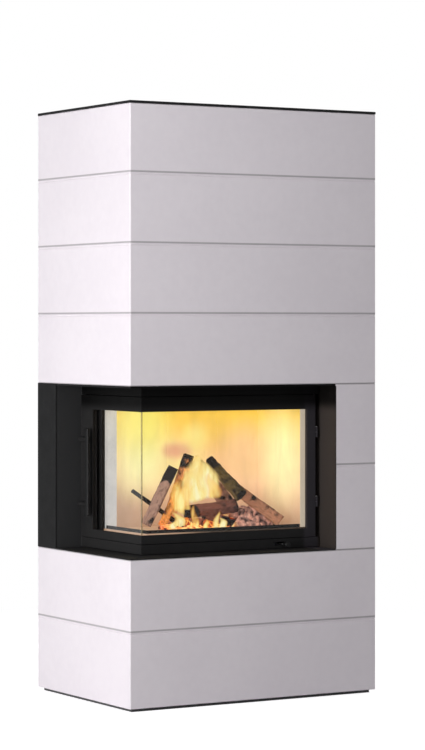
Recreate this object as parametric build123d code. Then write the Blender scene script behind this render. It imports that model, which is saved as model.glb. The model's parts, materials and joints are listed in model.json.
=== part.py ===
from build123d import *
import os
from math import atan2, cos, degrees, radians, sin

# Tiled wood stove: cast heat-storing rings round a corner insert with a two-sided glass door.
# Millimetres. Origin on the floor under the middle of the casing, +Z up, front towards -Y,
# glazed side towards -X.

# ---- casing --------------------------------------------------------------------------------------
WIDTH = 890.0
DEPTH = 606.0
HEIGHT = 1840.0
WALL = 60.0
PLINTH_INSET = 15.0
PLINTH_TOP = 10.0
LOWER_RING_HEIGHT = 224.0
SIDE_BLOCK_HEIGHT = 261.0
UPPER_RING_HEIGHT = 213.0
UPPER_RINGS = 4
TOP_THICK = 8.0
TOP_RIM_GAP = 3.0
TOP_RIM_DEPTH = 12.0
JOINT_CHAMFER = 2.0
EDGE_CHAMFER = 3.0
CAVITY_RADIUS = 18.0
TONGUE_WIDTH = 14.0
TONGUE_HEIGHT = 8.0
TONGUE_SLACK = 1.0
NEAR = 0.1

HALF_W = WIDTH / 2
HALF_D = DEPTH / 2
CAVITY_X = HALF_W - WALL
CAVITY_Y = HALF_D - WALL
LOWER_JOINT = PLINTH_TOP + LOWER_RING_HEIGHT
LEDGE = LOWER_JOINT + LOWER_RING_HEIGHT
SIDE_JOINT = LEDGE + SIDE_BLOCK_HEIGHT
LINTEL = SIDE_JOINT + SIDE_BLOCK_HEIGHT
UPPER_JOINTS = [LINTEL + i * UPPER_RING_HEIGHT for i in range(UPPER_RINGS + 1)]

# ---- corner recess: the door stands one recess depth behind both outer faces ---------------------
RECESS = 87.0
DOOR_X = RECESS - HALF_W
DOOR_Y = RECESS - HALF_D
REVEAL_X = 296.0
REVEAL_THICK = 3.0
RETURN_Y = 180.0
POST_WIDTH = 70.0
SHEET = 4.0
SILL_TOP = LEDGE + SHEET
SOFFIT_THICK = 6.0
SOFFIT = LINTEL - SOFFIT_THICK
SOFFIT_SET_BACK = 2.0
SOFFIT_OVER_DOOR = 28.0
BEAM_HEIGHT = 60.0
BEAM_THICK = 6.0
BEAM_GUSSET = 40.0
FOLD_RADIUS = 1.5

# ---- door ----------------------------------------------------------------------------------------
DOOR_BOTTOM = 496.0
DOOR_TOP = 944.0
DOOR_RIGHT = 274.0
DOOR_REAR = 146.0
DOOR_THICK = 24.0
DOOR_EDGE = 1.5
FLANGE = 4.0
COVER_REAR = 172.0
COVER_THICK = 3.0
WINDOW_BOTTOM = 523.0
WINDOW_TOP = 899.0
WINDOW_RIGHT = 243.0
WINDOW_REAR = 95.0
POCKET_BOTTOM = DOOR_BOTTOM + 16.0
POCKET_TOP = DOOR_TOP - 24.0
POCKET_RIGHT = WINDOW_RIGHT + 17.0
POCKET_REAR = WINDOW_REAR + 14.0
GLASS_THICK = 4.0
GLASS_TAPE = 1.0
GLASS_GAP = 2.0
GLASS_RIGHT = WINDOW_RIGHT + 13.0
GLASS_REAR = WINDOW_REAR + 12.0
GLASS_BOTTOM = POCKET_BOTTOM + GLASS_GAP
GLASS_TOP = POCKET_TOP - GLASS_GAP
PANE_X = DOOR_X + FLANGE + GLASS_TAPE
PANE_Y = DOOR_Y + FLANGE + GLASS_TAPE
SILICONE = 0.4
TAPE_WIDTH = 8.0
TRIM_LEG = 3.0
TRIM_THICK = 1.2
RETAINER = 9.0
RETAINER_SCREW_X = (-280.0, -100.0, 80.0, 225.0)
RETAINER_SCREW_Y = (-150.0, -40.0, 75.0)
SCREW_HEAD_R = 3.6
SCREW_HEAD_HEIGHT = 2.6
GASKET_WIDTH = 8.0
GASKET_SPACE = 6.0
GASKET_GAP = 0.3

HINGE_X = 281.0
HINGE_Y = -210.0
HINGE_LEVELS = (590.0, 810.0)
KNUCKLE_R = 7.0
KNUCKLE_LENGTH = 16.0
HINGE_PIN_R = 4.0
HINGE_PIN_PROUD = 2.0
HINGE_CLEARANCE = 0.05
HINGE_GAP = 0.4
HINGE_TAB = 8.0
HINGE_ARM_INSET = 1.5

ROD_X = -346.0
ROD_Y = 160.0
ROD_R = 5.0
ROD_BOTTOM = 536.0
ROD_TOP = 904.0
BEARING_LEVELS = (546.0, 714.0, 884.0)
BEARING_R = 8.0
BEARING_HEIGHT = 12.0
HOOK_LEVELS = (566.0, 868.0)
HOOK_THICK = 6.0
HOOK_HUB_R = 8.0
HOOK_ARC_R = 12.0
HOOK_SLOT = 7.2
HOOK_OUTER_R = 20.0
HOOK_BACK = 30.0
HOOK_BEAK = 12.0
SLOT_BACK = 18.0
SLOT_MOUTH = 20.0
KEEPER_ANGLE = 40.0
KEEPER_PIN_R = 3.0
KEEPER_EAR_R = 5.0
KEEPER_PLATE = 3.0
KEEPER_GAP = 4.0
KEEPER_REAR = 7.0
HANDLE_X = -376.0
HANDLE_Y = 98.0
HANDLE_BOTTOM = 566.0
HANDLE_TOP = 840.0
HANDLE_HALF_X = 5.0
HANDLE_HALF_Y = 9.0
HANDLE_ROUND = 4.0
HANDLE_END = 1.5
ARM_FROM_END = 35.0
ARM_LEVELS = (HANDLE_BOTTOM + ARM_FROM_END, HANDLE_TOP - ARM_FROM_END)
ARM_HALF = 5.0
ARM_HUB_R = 9.0
ARM_LIMB = 9.0
CRANK_X = ROD_X - 23.0
ARM_NOTCH_Y = ROD_Y - 10.0
ARM_NOTCH_HALF = 9.0

# ---- insert body ---------------------------------------------------------------------------------
SEAL_X = DOOR_X + DOOR_THICK + GASKET_SPACE
SEAL_Y = DOOR_Y + DOOR_THICK + GASKET_SPACE
SEAL_THICK = 6.0
SHELL_X0 = SEAL_X + SEAL_THICK
SHELL_X1 = 285.0
SHELL_Y0 = SEAL_Y + SEAL_THICK
SHELL_Y1 = 176.0
SHELL_Z0 = 464.0
SHELL_Z1 = 1020.0
SHELL_WALL = 4.0
FLOOR_PLATE = 490.0
HEARTH = 524.0
MOUTH_BOTTOM = HEARTH - 18.0
MOUTH_TOP = WINDOW_TOP + 31.0
MOUTH_RIGHT = DOOR_RIGHT - 13.0
MOUTH_REAR = WINDOW_REAR + 15.0
RAIL_GAP = 2.0
RAIL_RIGHT = DOOR_RIGHT + 14.0
SEAL_RIGHT = DOOR_RIGHT - 16.0
SEAL_TOP = DOOR_TOP - 16.0

LINING_TOP = 906.0
LINING_Y = 85.0
LINING_THICK = 30.0
LINING_EDGE = 1.5
LINING_JOINT = 1.0
LINING_FIT = 3.0
BACK_PANELS = 3
RIGHT_LINING_X = 244.0
RIGHT_LINING_THICK = 28.0
STRIP_X0 = -318.0
STRIP_X1 = -276.0
BAFFLE_THICK = 25.0
BAFFLE_FRONT = 45.0
BAFFLE_EDGE = 2.0
DEFLECTOR_RISE = 30.0
DEFLECTOR_STEP = 60.0
DEFLECTOR_SHEET = 3.0
DEFLECTOR_FOOT = 6.0
DEFLECTOR_FOOT_INSET = 20.0
GUARD_THICK = 6.0
GUARD_HEIGHT = 10.0
LINING_X0 = SHELL_X0 + SHELL_WALL + LINING_FIT
LINING_X1 = SHELL_X1 - SHELL_WALL - LINING_FIT
LINING_Y0 = SHELL_Y0 + SHELL_WALL + LINING_FIT
LINING_Y1 = SHELL_Y1 - SHELL_WALL - LINING_FIT

STAND_INSET = 4.0
LEG_WIDTH = 40.0
LEG_WALL = 4.0
FOOT_PLATE_Z = 18.0
FOOT_HOLE_R = 6.2
FOOT_STEM_R = 6.0
FOOT_STEM_TOP = 40.0
FOOT_PAD_R = 16.0
FOOT_PAD_THICK = 5.0
FOOT_SHOULDER_R = 10.0
FOOT_SHOULDER_TOP = 9.0
FOOT_NUT_R = 9.5
FOOT_NUT_HEIGHT = 7.0

# ---- grate, ash well and pan ---------------------------------------------------------------------
GRATE_X = -30.0
GRATE_Y = -45.0
GRATE_SIZE = 172.0
GRATE_LEDGE = 506.0
GRATE_THICK = 14.0
GRATE_CORNER = 6.0
GRATE_FIT = 2.0
GRATE_SLOTS = 7
GRATE_PITCH = 20.0
SLOT_TOP = (138.0, 8.0)
SLOT_UNDER = (142.0, 12.0)
PAN_SIZE = 148.0
PAN_HEIGHT = 64.0
PAN_BASE = 136.0
PAN_DRAFT = 5.0
PAN_HOLE_FIT = 4.0
PAN_GRIP_Z = 52.0
PAN_GRIP_HALF = 5.0
PAN_GRIP_THICK = 3.0
PAN_GRIP_END = 2.5
WELL_BOTTOM = 396.0
WELL_FIT = 7.0
WELL_LIP = 12.0
THIN = 2.0

# ---- flue, heat store and air --------------------------------------------------------------------
FLUE_X = -20.0
FLUE_Y = 0.0
FLUE_R = 75.0
FLUE_WALL = 2.0
FLUE_AXIS_Z = 1512.0
ELBOW_R = 120.0
FLUE_HOLE_R = 95.0
FLUE_PLATE_R = 110.0
SMOKE_HOLE_R = 72.0
PIPE_FOOT = SHELL_Z1 + 14.0
PIPE_BEAD_BELOW = 20.0
PIPE_BEAD_HALF = 4.0
PIPE_BEAD_PROUD = 3.0
COLLAR_TOP = SHELL_Z1 + 50.0
COLLAR_FLANGE = 6.0
COLLAR_NECK_FOOT = 10.0
COLLAR_NECK_WALL = 5.0
COLLAR_NECK_SPREAD = 2.0
COLLAR_LEDGE = 4.0
COLLAR_FIT = 4.0
STORE_RINGS = 3
STORE_OUTER_R = 200.0
STORE_INNER_R = 106.0
STORE_HEIGHT = 110.0
STORE_STEP = 6.0
STORE_STEP_SLACK = 0.5
STORE_EDGE = 4.0
SPIGOT_STEP = 0.5
SPIGOT_PLATE = 3.0

AIR_X = 155.0
AIR_Z = 370.0
AIR_R = 62.5
AIR_HOLE_R = 76.0
AIR_BEAD_R = 67.0
AIR_COLLAR_R = 74.5
AIR_BOX_HALF = 75.0
AIR_BOX_FRONT = -60.0
AIR_BOX_REAR = 126.0
AIR_BOX_BOTTOM = 297.5
AIR_INLET_CUT = 20.0
AIR_ROD_Z = 478.0
AIR_BOX_TOP = AIR_ROD_Z - 4.0
AIR_SLOT_PITCH = 50.0
AIR_SLOT_WIDTH = 18.0
AIR_SLOT_LENGTH = 60.0
AIR_SLOT_Y = 20.0
AIR_TRAVEL = 25.0
VALVE_HALF_X = 62.0
VALVE_HALF_Y = 40.0
VALVE_THICK = 3.0
VALVE_LIFT = 0.5
VALVE_GUIDE = 4.0
VALVE_GUIDE_GAP = 1.0
AIR_ROD_HALF = 4.0
AIR_ROD_FRONT = DOOR_Y - 6.0
AIR_ROD_PLAY = 4.0
KNOB_NECK_R = 5.0
KNOB_NECK = 8.0
KNOB_R = 9.0
KNOB_SHOULDER = 12.0
KNOB_RIM = 20.0
KNOB_FACE_R = 7.5
KNOB_LENGTH = 22.0

os.makedirs("parts", exist_ok=True)


# ---- shapes that many pieces share ---------------------------------------------------------------
def save(shape, node):
    """Write one piece, or one group of like pieces, as its own node."""
    export_step(shape, f"parts/{node}.step")


def block(x0, x1, y0, y1, z0, z1):
    """A rectangular blank between two corners."""
    centre = Pos((x0 + x1) / 2, (y0 + y1) / 2, (z0 + z1) / 2)
    return centre * Box(x1 - x0, y1 - y0, z1 - z0)


def square_block(x, y, half, z0, z1):
    """A square blank round an upright middle line."""
    return block(x - half, x + half, y - half, y + half, z0, z1)


def prism(outline, z0, z1):
    """An upright prism on a plan outline."""
    face = make_face(Polyline(*outline, close=True))
    return extrude(Pos(0, 0, z0) * face, amount=z1 - z0)


def upright(x, y, radius, z0, z1):
    """An upright round bar."""
    return Pos(x, y, (z0 + z1) / 2) * Cylinder(radius, z1 - z0)


def corner_band(x0, x1, y0, y1, depth, z0, z1):
    """The L-shaped band that follows the glazed corner: one leg along the front, one along the side."""
    inner_x = x0 + depth
    inner_y = y0 + depth
    outline = [(x0, y0), (x1, y0), (x1, inner_y), (inner_x, inner_y), (inner_x, y1), (x0, y1)]
    return prism(outline, z0, z1)


def turned_upright(profile, x, y):
    """A ring turned round an upright axis, from a profile of (radius, height) points."""
    face = make_face(Plane.XZ * Polyline(*profile, close=True))
    return Pos(x, y, 0) * revolve(face, Axis.Z)


def turned_rearward(profile, x, z):
    """A ring turned round an axis that runs front to back, from a profile of (radius, y) points."""
    face = make_face(Polyline(*profile, close=True))
    return Pos(x, 0, z) * revolve(face, Axis.Y)


def group(pieces):
    """Separate like pieces that share a node."""
    return Compound(children=list(pieces))


# ---- casing --------------------------------------------------------------------------------------
def on_outer_face(edge):
    """True for an edge that lies on, or just inside, one of the casing's four outer planes."""
    centre = edge.center()
    reach = EDGE_CHAMFER + NEAR
    return abs(centre.X) > HALF_W - reach or abs(centre.Y) > HALF_D - reach


def ease_joint_edges(body, z0, z1):
    """Chamfer the outer corners, then the outer top and bottom arrises, which pair up as V-joints."""
    corners = [
        e for e in body.edges().filter_by(Axis.Z)
        if abs(e.center().X) > HALF_W - NEAR and abs(e.center().Y) > HALF_D - NEAR
    ]
    body = chamfer(corners, EDGE_CHAMFER)
    arrises = [
        e for e in body.edges()
        if on_outer_face(e) and min(abs(e.center().Z - z0), abs(e.center().Z - z1)) < NEAR
    ]
    return chamfer(arrises, JOINT_CHAMFER)


def tongue_band(width, height, z0):
    """The raised rib, or the blank of its groove, that runs round the middle of a ring's wall."""
    middle_w = WIDTH - WALL
    middle_d = DEPTH - WALL
    outer = Rectangle(middle_w + width, middle_d + width)
    inner = Rectangle(middle_w - width, middle_d - width)
    return extrude(Pos(0, 0, z0) * (outer - inner), amount=height)


def cast_ring(z0, z1, tongue, groove):
    """One cast ring of the casing: rounded cavity, V-joint arrises, locating tongue and groove."""
    cavity = RectangleRounded(2 * CAVITY_X, 2 * CAVITY_Y, CAVITY_RADIUS)
    body = extrude(Pos(0, 0, z0) * (Rectangle(WIDTH, DEPTH) - cavity), amount=z1 - z0)
    body = ease_joint_edges(body, z0, z1)
    if tongue:
        body += tongue_band(TONGUE_WIDTH, TONGUE_HEIGHT, z1)
    if groove:
        body -= tongue_band(TONGUE_WIDTH + 2 * TONGUE_SLACK, TONGUE_HEIGHT + TONGUE_SLACK, z0)
    return body


def rear_hole(body, x, z, radius):
    """A round hole through the rear wall."""
    bar = Pos(x, HALF_D - WALL / 2, z) * Rot(90, 0, 0) * Cylinder(radius, 2 * WALL)
    return body - bar


def block_rib(width, height, z0):
    """The tongue of a side block, or its groove's blank: along the right column, then along the back."""
    half = width / 2
    line_x = HALF_W - WALL / 2
    line_y = HALF_D - WALL / 2
    end_x = SHEET - HALF_W + POST_WIDTH
    outline = [
        (line_x - half, -line_y), (line_x + half, -line_y), (line_x + half, line_y + half),
        (end_x, line_y + half), (end_x, line_y - half), (line_x - half, line_y - half),
    ]
    return prism(outline, z0, z0 + height)


def side_block(z0, z1, tongue, groove):
    """One C-shaped block: right column with its return, back wall and rear left post."""
    post_x0 = SHEET - HALF_W
    post_x1 = post_x0 + POST_WIDTH
    post_y = RETURN_Y + SHEET
    outline = [
        (REVEAL_X, -HALF_D), (HALF_W, -HALF_D), (HALF_W, HALF_D), (post_x0, HALF_D),
        (post_x0, post_y), (post_x1, post_y), (post_x1, CAVITY_Y), (CAVITY_X, CAVITY_Y),
        (CAVITY_X, DOOR_Y), (REVEAL_X, DOOR_Y),
    ]
    body = ease_joint_edges(prism(outline, z0, z1), z0, z1)
    if tongue:
        body += block_rib(TONGUE_WIDTH, TONGUE_HEIGHT, z1)
    if groove:
        body -= block_rib(TONGUE_WIDTH + 2 * TONGUE_SLACK, TONGUE_HEIGHT + TONGUE_SLACK, z0)
    return body


def make_casing():
    """Plinth and cast pieces, stacked dry with tongues in grooves."""
    outer = Rectangle(WIDTH - 2 * PLINTH_INSET, DEPTH - 2 * PLINTH_INSET)
    inner = Rectangle(2 * CAVITY_X, 2 * CAVITY_Y)
    save(extrude(outer - inner, amount=PLINTH_TOP), "plinth_frame")

    save(cast_ring(PLINTH_TOP, LOWER_JOINT, True, False), "lower_ring_1")
    lower = cast_ring(LOWER_JOINT, LEDGE, False, True)
    save(rear_hole(lower, AIR_X, AIR_Z, AIR_HOLE_R), "lower_ring_2")

    save(side_block(LEDGE, SIDE_JOINT, True, False), "side_block_1")
    save(side_block(SIDE_JOINT, LINTEL, False, True), "side_block_2")

    for i in range(UPPER_RINGS):
        first = i == 0
        last = i == UPPER_RINGS - 1
        ring = cast_ring(UPPER_JOINTS[i], UPPER_JOINTS[i + 1], not last, not first)
        if UPPER_JOINTS[i] < FLUE_AXIS_Z < UPPER_JOINTS[i + 1]:
            ring = rear_hole(ring, FLUE_X, FLUE_AXIS_Z, FLUE_HOLE_R)
        save(ring, f"upper_ring_{i + 1}")


def make_top_plate():
    """Sheet top, flush with the rings, with a rim below that drops into the last ring."""
    underside = HEIGHT - TOP_THICK
    plate = block(-HALF_W, HALF_W, -HALF_D, HALF_D, underside, HEIGHT)
    plate = chamfer(plate.faces().sort_by(Axis.Z)[-1].edges(), 1.0)
    rim_w = 2 * (CAVITY_X - TOP_RIM_GAP)
    rim_d = 2 * (CAVITY_Y - TOP_RIM_GAP)
    outer = RectangleRounded(rim_w, rim_d, CAVITY_RADIUS)
    inner = RectangleRounded(rim_w - 2 * SHEET, rim_d - 2 * SHEET, CAVITY_RADIUS - SHEET)
    plate += extrude(Pos(0, 0, underside - TOP_RIM_DEPTH) * (outer - inner), amount=TOP_RIM_DEPTH)
    save(plate, "top_plate")


def make_lintel_beam():
    """Soffit plate over the recess, with upstands and a gusset inside the rings that it carries."""
    x0 = SOFFIT_SET_BACK - HALF_W
    y0 = SOFFIT_SET_BACK - HALF_D
    depth = RECESS + SOFFIT_OVER_DOOR
    beam = corner_band(x0, REVEAL_X - REVEAL_THICK, y0, RETURN_Y - SOFFIT_SET_BACK, depth, SOFFIT, LINTEL)
    clear_x = CAVITY_X - CAVITY_RADIUS
    clear_y = CAVITY_Y - CAVITY_RADIUS
    front = BEAM_THICK - CAVITY_Y
    side = BEAM_THICK - CAVITY_X
    top = LINTEL + BEAM_HEIGHT
    beam += block(-clear_x, clear_x, -CAVITY_Y, front, LINTEL, top)
    beam += block(-CAVITY_X, side, -clear_y, clear_y, LINTEL, top)
    gusset = [(side, front), (side + BEAM_GUSSET, front), (side, front + BEAM_GUSSET)]
    save(beam + prism(gusset, LINTEL, LINTEL + SHEET), "lintel_beam")


def make_recess_sheets():
    """The black steel that lines the corner recess: sill, right reveal and rear left cover."""
    depth = SHELL_Y0 + HALF_D
    sill = corner_band(-HALF_W, REVEAL_X - REVEAL_THICK, -HALF_D, RETURN_Y, depth, LEDGE, SILL_TOP)
    save(sill, "sill_plate")

    reveal = block(REVEAL_X - REVEAL_THICK, REVEAL_X, -HALF_D, SHELL_Y0, SILL_TOP, SOFFIT)
    save(reveal, "reveal_plate")

    cover = block(-HALF_W, SHEET - HALF_W, RETURN_Y, HALF_D, LEDGE, LINTEL)
    cover += block(-HALF_W, DOOR_X + DOOR_THICK, RETURN_Y, RETURN_Y + SHEET, SILL_TOP, SOFFIT)
    fold = [
        e for e in cover.edges().filter_by(Axis.Z)
        if e.center().X < NEAR - HALF_W and e.center().Y < RETURN_Y + NEAR
    ]
    save(fillet(fold, FOLD_RADIUS), "rear_left_cover")


# ---- insert --------------------------------------------------------------------------------------
def screw_foot(x, y):
    """A levelling foot: pad, shoulder, stem and the nut under the stand's foot plate."""
    pad = [
        (0.0, 0.0), (FOOT_PAD_R, 0.0), (FOOT_PAD_R, FOOT_PAD_THICK), (FOOT_SHOULDER_R, FOOT_SHOULDER_TOP),
        (FOOT_STEM_R, FOOT_SHOULDER_TOP), (FOOT_STEM_R, FOOT_STEM_TOP), (0.0, FOOT_STEM_TOP),
    ]
    nut_foot = FOOT_PLATE_Z - FOOT_NUT_HEIGHT
    nut = [
        (FOOT_STEM_R, nut_foot), (FOOT_NUT_R, nut_foot),
        (FOOT_NUT_R, FOOT_PLATE_Z), (FOOT_STEM_R, FOOT_PLATE_Z),
    ]
    return turned_upright(pad, x, y) + turned_upright(nut, x, y)


def angle_leg(x, y, side_x, side_y):
    """One angle-iron leg with its outer corner at x, y, on a drilled foot plate."""
    outer_x = x + side_x * LEG_WIDTH
    outer_y = y + side_y * LEG_WIDTH
    wall_x = x + side_x * LEG_WALL
    wall_y = y + side_y * LEG_WALL
    outline = [(x, y), (outer_x, y), (outer_x, wall_y), (wall_x, wall_y), (wall_x, outer_y), (x, outer_y)]
    leg = prism(outline, FOOT_PLATE_Z, SHELL_Z0 - LEG_WALL)
    mid_x = (x + outer_x) / 2
    mid_y = (y + outer_y) / 2
    plate_top = FOOT_PLATE_Z + LEG_WALL
    plate = square_block(mid_x, mid_y, LEG_WIDTH / 2, FOOT_PLATE_Z, plate_top)
    return leg + (plate - upright(mid_x, mid_y, FOOT_HOLE_R, FOOT_PLATE_Z, plate_top))


def make_stand():
    """Angle-iron stand that carries the insert inside the casing, on four screw feet."""
    x0 = SHELL_X0 + STAND_INSET
    x1 = SHELL_X1 - STAND_INSET
    y0 = SHELL_Y0 + STAND_INSET
    y1 = SHELL_Y1 - STAND_INSET
    rim_z = SHELL_Z0 - LEG_WALL
    stand = block(x0, x1, y0, y1, rim_z, SHELL_Z0)
    stand -= block(x0 + LEG_WIDTH, x1 - LEG_WIDTH, y0 + LEG_WIDTH, y1 - LEG_WIDTH, rim_z, SHELL_Z0)
    feet = []
    for x, side_x in ((x0, 1), (x1, -1)):
        for y, side_y in ((y0, 1), (y1, -1)):
            stand += angle_leg(x, y, side_x, side_y)
            feet.append(screw_foot(x + side_x * LEG_WIDTH / 2, y + side_y * LEG_WIDTH / 2))
    save(stand, "insert_stand")
    save(group(feet), "stand_feet")


def make_shell():
    """Welded firebox: floor plate, skirt, walls and smoke dome, open along the front and the left side."""
    wall = SHELL_WALL
    floor_top = FLOOR_PLATE + wall
    body = block(SHELL_X0, SHELL_X1, SHELL_Y0, SHELL_Y1, SHELL_Z0, SHELL_Z1)
    inner = (SHELL_X0 + wall, SHELL_X1 - wall, SHELL_Y0 + wall, SHELL_Y1 - wall)
    body -= block(*inner, floor_top, SHELL_Z1 - wall)
    body -= block(*inner, SHELL_Z0, FLOOR_PLATE)
    mouth = (MOUTH_BOTTOM, MOUTH_TOP)
    body -= block(SHELL_X0 - wall, MOUTH_RIGHT, SHELL_Y0 - wall, SHELL_Y0 + wall, *mouth)
    body -= block(SHELL_X0 - wall, SHELL_X0 + wall, SHELL_Y0 - wall, MOUTH_REAR, *mouth)
    body -= upright(FLUE_X, FLUE_Y, SMOKE_HOLE_R, SHELL_Z1 - wall, SHELL_Z1)
    body -= square_block(GRATE_X, GRATE_Y, PAN_SIZE / 2 + PAN_HOLE_FIT, FLOOR_PLATE, floor_top)
    body -= air_slots(FLOOR_PLATE, floor_top)
    play = AIR_ROD_PLAY + 2.0
    body -= rod_passage(SHELL_Y0, SHELL_Y0 + wall, play)
    save(body, "firebox_shell")


def rod_passage(y0, y1, play):
    """The blank of the slot that the air rod slides in."""
    reach = AIR_ROD_HALF + play
    height = AIR_ROD_HALF / 2 + play
    return block(AIR_X - AIR_TRAVEL - reach, AIR_X + reach, y0, y1, AIR_ROD_Z - height, AIR_ROD_Z + height)


def make_front_frame():
    """Fixed frame round the door: bottom and top rails, sealing flange and side jamb."""
    rail_x = DOOR_X + RAIL_GAP
    rail_y = DOOR_Y + RAIL_GAP
    depth = SHELL_Y0 - rail_y
    low = DOOR_BOTTOM - RAIL_GAP
    high = DOOR_TOP + RAIL_GAP
    frame = corner_band(rail_x, RAIL_RIGHT, rail_y, SHELL_Y1, depth, SHELL_Z0, low)
    frame += corner_band(rail_x, RAIL_RIGHT, rail_y, SHELL_Y1, depth, high, SOFFIT - RAIL_GAP)
    frame += corner_band(SEAL_X, RAIL_RIGHT, SEAL_Y, DOOR_REAR, SEAL_THICK, low, high)
    frame -= block(SEAL_X - 1.0, SEAL_RIGHT, SEAL_Y, SHELL_Y0, POCKET_BOTTOM, SEAL_TOP)
    frame -= block(SEAL_X - 1.0, SHELL_X0, SEAL_Y, LINING_Y, POCKET_BOTTOM, SEAL_TOP)
    frame += block(SHELL_X0, STRIP_X0, LINING_Y, MOUTH_REAR, HEARTH, SEAL_TOP)
    save(frame - rod_passage(rail_y, SHELL_Y0, AIR_ROD_PLAY), "front_frame")


def make_hearth():
    """Four fireclay slabs round the grate, with a ledge that the grate drops onto."""
    floor_z = FLOOR_PLATE + SHELL_WALL
    half_ledge = PAN_SIZE / 2 + PAN_HOLE_FIT
    gap = LINING_JOINT / 2
    front = GRATE_Y - half_ledge
    rear = GRATE_Y + half_ledge
    spans = [
        (LINING_X0, LINING_X1, LINING_Y0, front - gap),
        (LINING_X0, GRATE_X - half_ledge, front + gap, rear - gap),
        (GRATE_X + half_ledge, LINING_X1, front + gap, rear - gap),
        (LINING_X0, LINING_X1, rear + gap, LINING_Y1),
    ]
    recess = square_block(GRATE_X, GRATE_Y, GRATE_SIZE / 2 + GRATE_FIT, GRATE_LEDGE, HEARTH)
    recess += square_block(GRATE_X, GRATE_Y, half_ledge, floor_z, GRATE_LEDGE)
    recess += air_slots(floor_z, HEARTH)
    save(group(block(*span, floor_z, HEARTH) - recess for span in spans), "hearth_slabs")


def lining_slab(x0, x1, y0, y1, fire_side):
    """An upright lining board with its two arrises towards the fire eased."""
    slab = block(x0, x1, y0, y1, HEARTH, LINING_TOP)
    face = slab.faces().sort_by(fire_side)[0]
    return chamfer(face.edges().filter_by(Axis.Z), LINING_EDGE)


def make_linings():
    """Wall boards of the firebox: three at the back, two on the right and a narrow strip on the left."""
    gap = LINING_JOINT / 2
    lining_rear = LINING_Y + LINING_THICK
    right_x1 = RIGHT_LINING_X + RIGHT_LINING_THICK
    panel = (right_x1 - STRIP_X1) / BACK_PANELS
    backs = []
    for i in range(BACK_PANELS):
        left = STRIP_X1 + i * panel
        backs.append(lining_slab(left + gap, left + panel - gap, LINING_Y, lining_rear, Axis.Y))
    save(group(backs), "back_lining")

    middle = (LINING_Y0 + LINING_Y) / 2
    spans = [(LINING_Y0, middle - gap), (middle + gap, LINING_Y - gap)]
    save(group(lining_slab(RIGHT_LINING_X, right_x1, *span, Axis.X) for span in spans), "right_lining")

    save(block(STRIP_X0, STRIP_X1, LINING_Y, lining_rear, HEARTH, LINING_TOP), "left_lining_strip")


def make_baffles():
    """Lower baffle board on the linings, the steel deflector over it, and the bar that keeps logs back."""
    lining_rear = LINING_Y + LINING_THICK
    front = LINING_Y0 + BAFFLE_FRONT
    board_top = LINING_TOP + BAFFLE_THICK
    board = block(STRIP_X0, LINING_X1 - BAFFLE_EDGE, front, lining_rear, LINING_TOP, board_top)
    save(chamfer(board.edges().filter_by(Axis.X), BAFFLE_EDGE), "baffle_lower")

    plate_z = board_top + DEFLECTOR_RISE
    plate_y = front + DEFLECTOR_STEP
    plate = block(LINING_X0, LINING_X1, plate_y, LINING_Y1, plate_z, plate_z + DEFLECTOR_SHEET)
    inset = DEFLECTOR_FOOT_INSET
    for x in (LINING_X0 + inset, LINING_X1 - inset - DEFLECTOR_FOOT):
        plate += block(x, x + DEFLECTOR_FOOT, plate_y, lining_rear, board_top, plate_z)
    save(plate, "baffle_upper")

    x0 = LINING_X0 - 1.0
    x1 = RIGHT_LINING_X - 2.0
    y0 = LINING_Y0 - 1.0
    y1 = LINING_Y - 4.0
    guard = corner_band(x0, x1, y0, y1, GUARD_THICK, HEARTH, HEARTH + GUARD_HEIGHT)
    save(fillet(guard.edges().filter_by(Axis.Z), FOLD_RADIUS), "log_guard")


def make_grate():
    """Cast grate with slots that widen downwards, so that ash falls through."""
    top = GRATE_LEDGE + GRATE_THICK
    grate = square_block(GRATE_X, GRATE_Y, GRATE_SIZE / 2, GRATE_LEDGE, top)
    grate = fillet(grate.edges().filter_by(Axis.Z), GRATE_CORNER)
    for i in range(GRATE_SLOTS):
        x = GRATE_X + (i - (GRATE_SLOTS - 1) / 2) * GRATE_PITCH
        narrow = Pos(x, GRATE_Y, top) * SlotOverall(*SLOT_TOP, rotation=90)
        wide = Pos(x, GRATE_Y, GRATE_LEDGE) * SlotOverall(*SLOT_UNDER, rotation=90)
        grate -= loft([wide, narrow])
    save(grate, "grate")


def make_ash_well():
    """Sheet well that hangs from the floor plate, and the tapered pan that lifts out of it by its grip."""
    half = PAN_SIZE / 2 + WELL_FIT
    well = square_block(GRATE_X, GRATE_Y, half, WELL_BOTTOM, FLOOR_PLATE)
    well += square_block(GRATE_X, GRATE_Y, half + WELL_LIP, FLOOR_PLATE - THIN, FLOOR_PLATE)
    well -= square_block(GRATE_X, GRATE_Y, half - THIN, WELL_BOTTOM + THIN, FLOOR_PLATE)
    save(well, "ash_well")

    foot = WELL_BOTTOM + THIN
    base = Rectangle(PAN_BASE, PAN_BASE)
    pan = extrude(base, amount=PAN_HEIGHT, taper=-PAN_DRAFT)
    inside = Rectangle(PAN_BASE - 2 * THIN, PAN_BASE - 2 * THIN)
    pan -= Pos(0, 0, THIN) * extrude(inside, amount=PAN_HEIGHT + THIN, taper=-PAN_DRAFT)
    pan = Pos(GRATE_X, GRATE_Y, foot) * pan
    reach = PAN_SIZE / 2 - PAN_GRIP_END
    grip_z = foot + PAN_GRIP_Z
    grip = block(
        GRATE_X - PAN_GRIP_HALF, GRATE_X + PAN_GRIP_HALF, GRATE_Y - reach, GRATE_Y + reach,
        grip_z, grip_z + PAN_GRIP_THICK,
    )
    save(pan + grip, "ash_pan")


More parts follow.
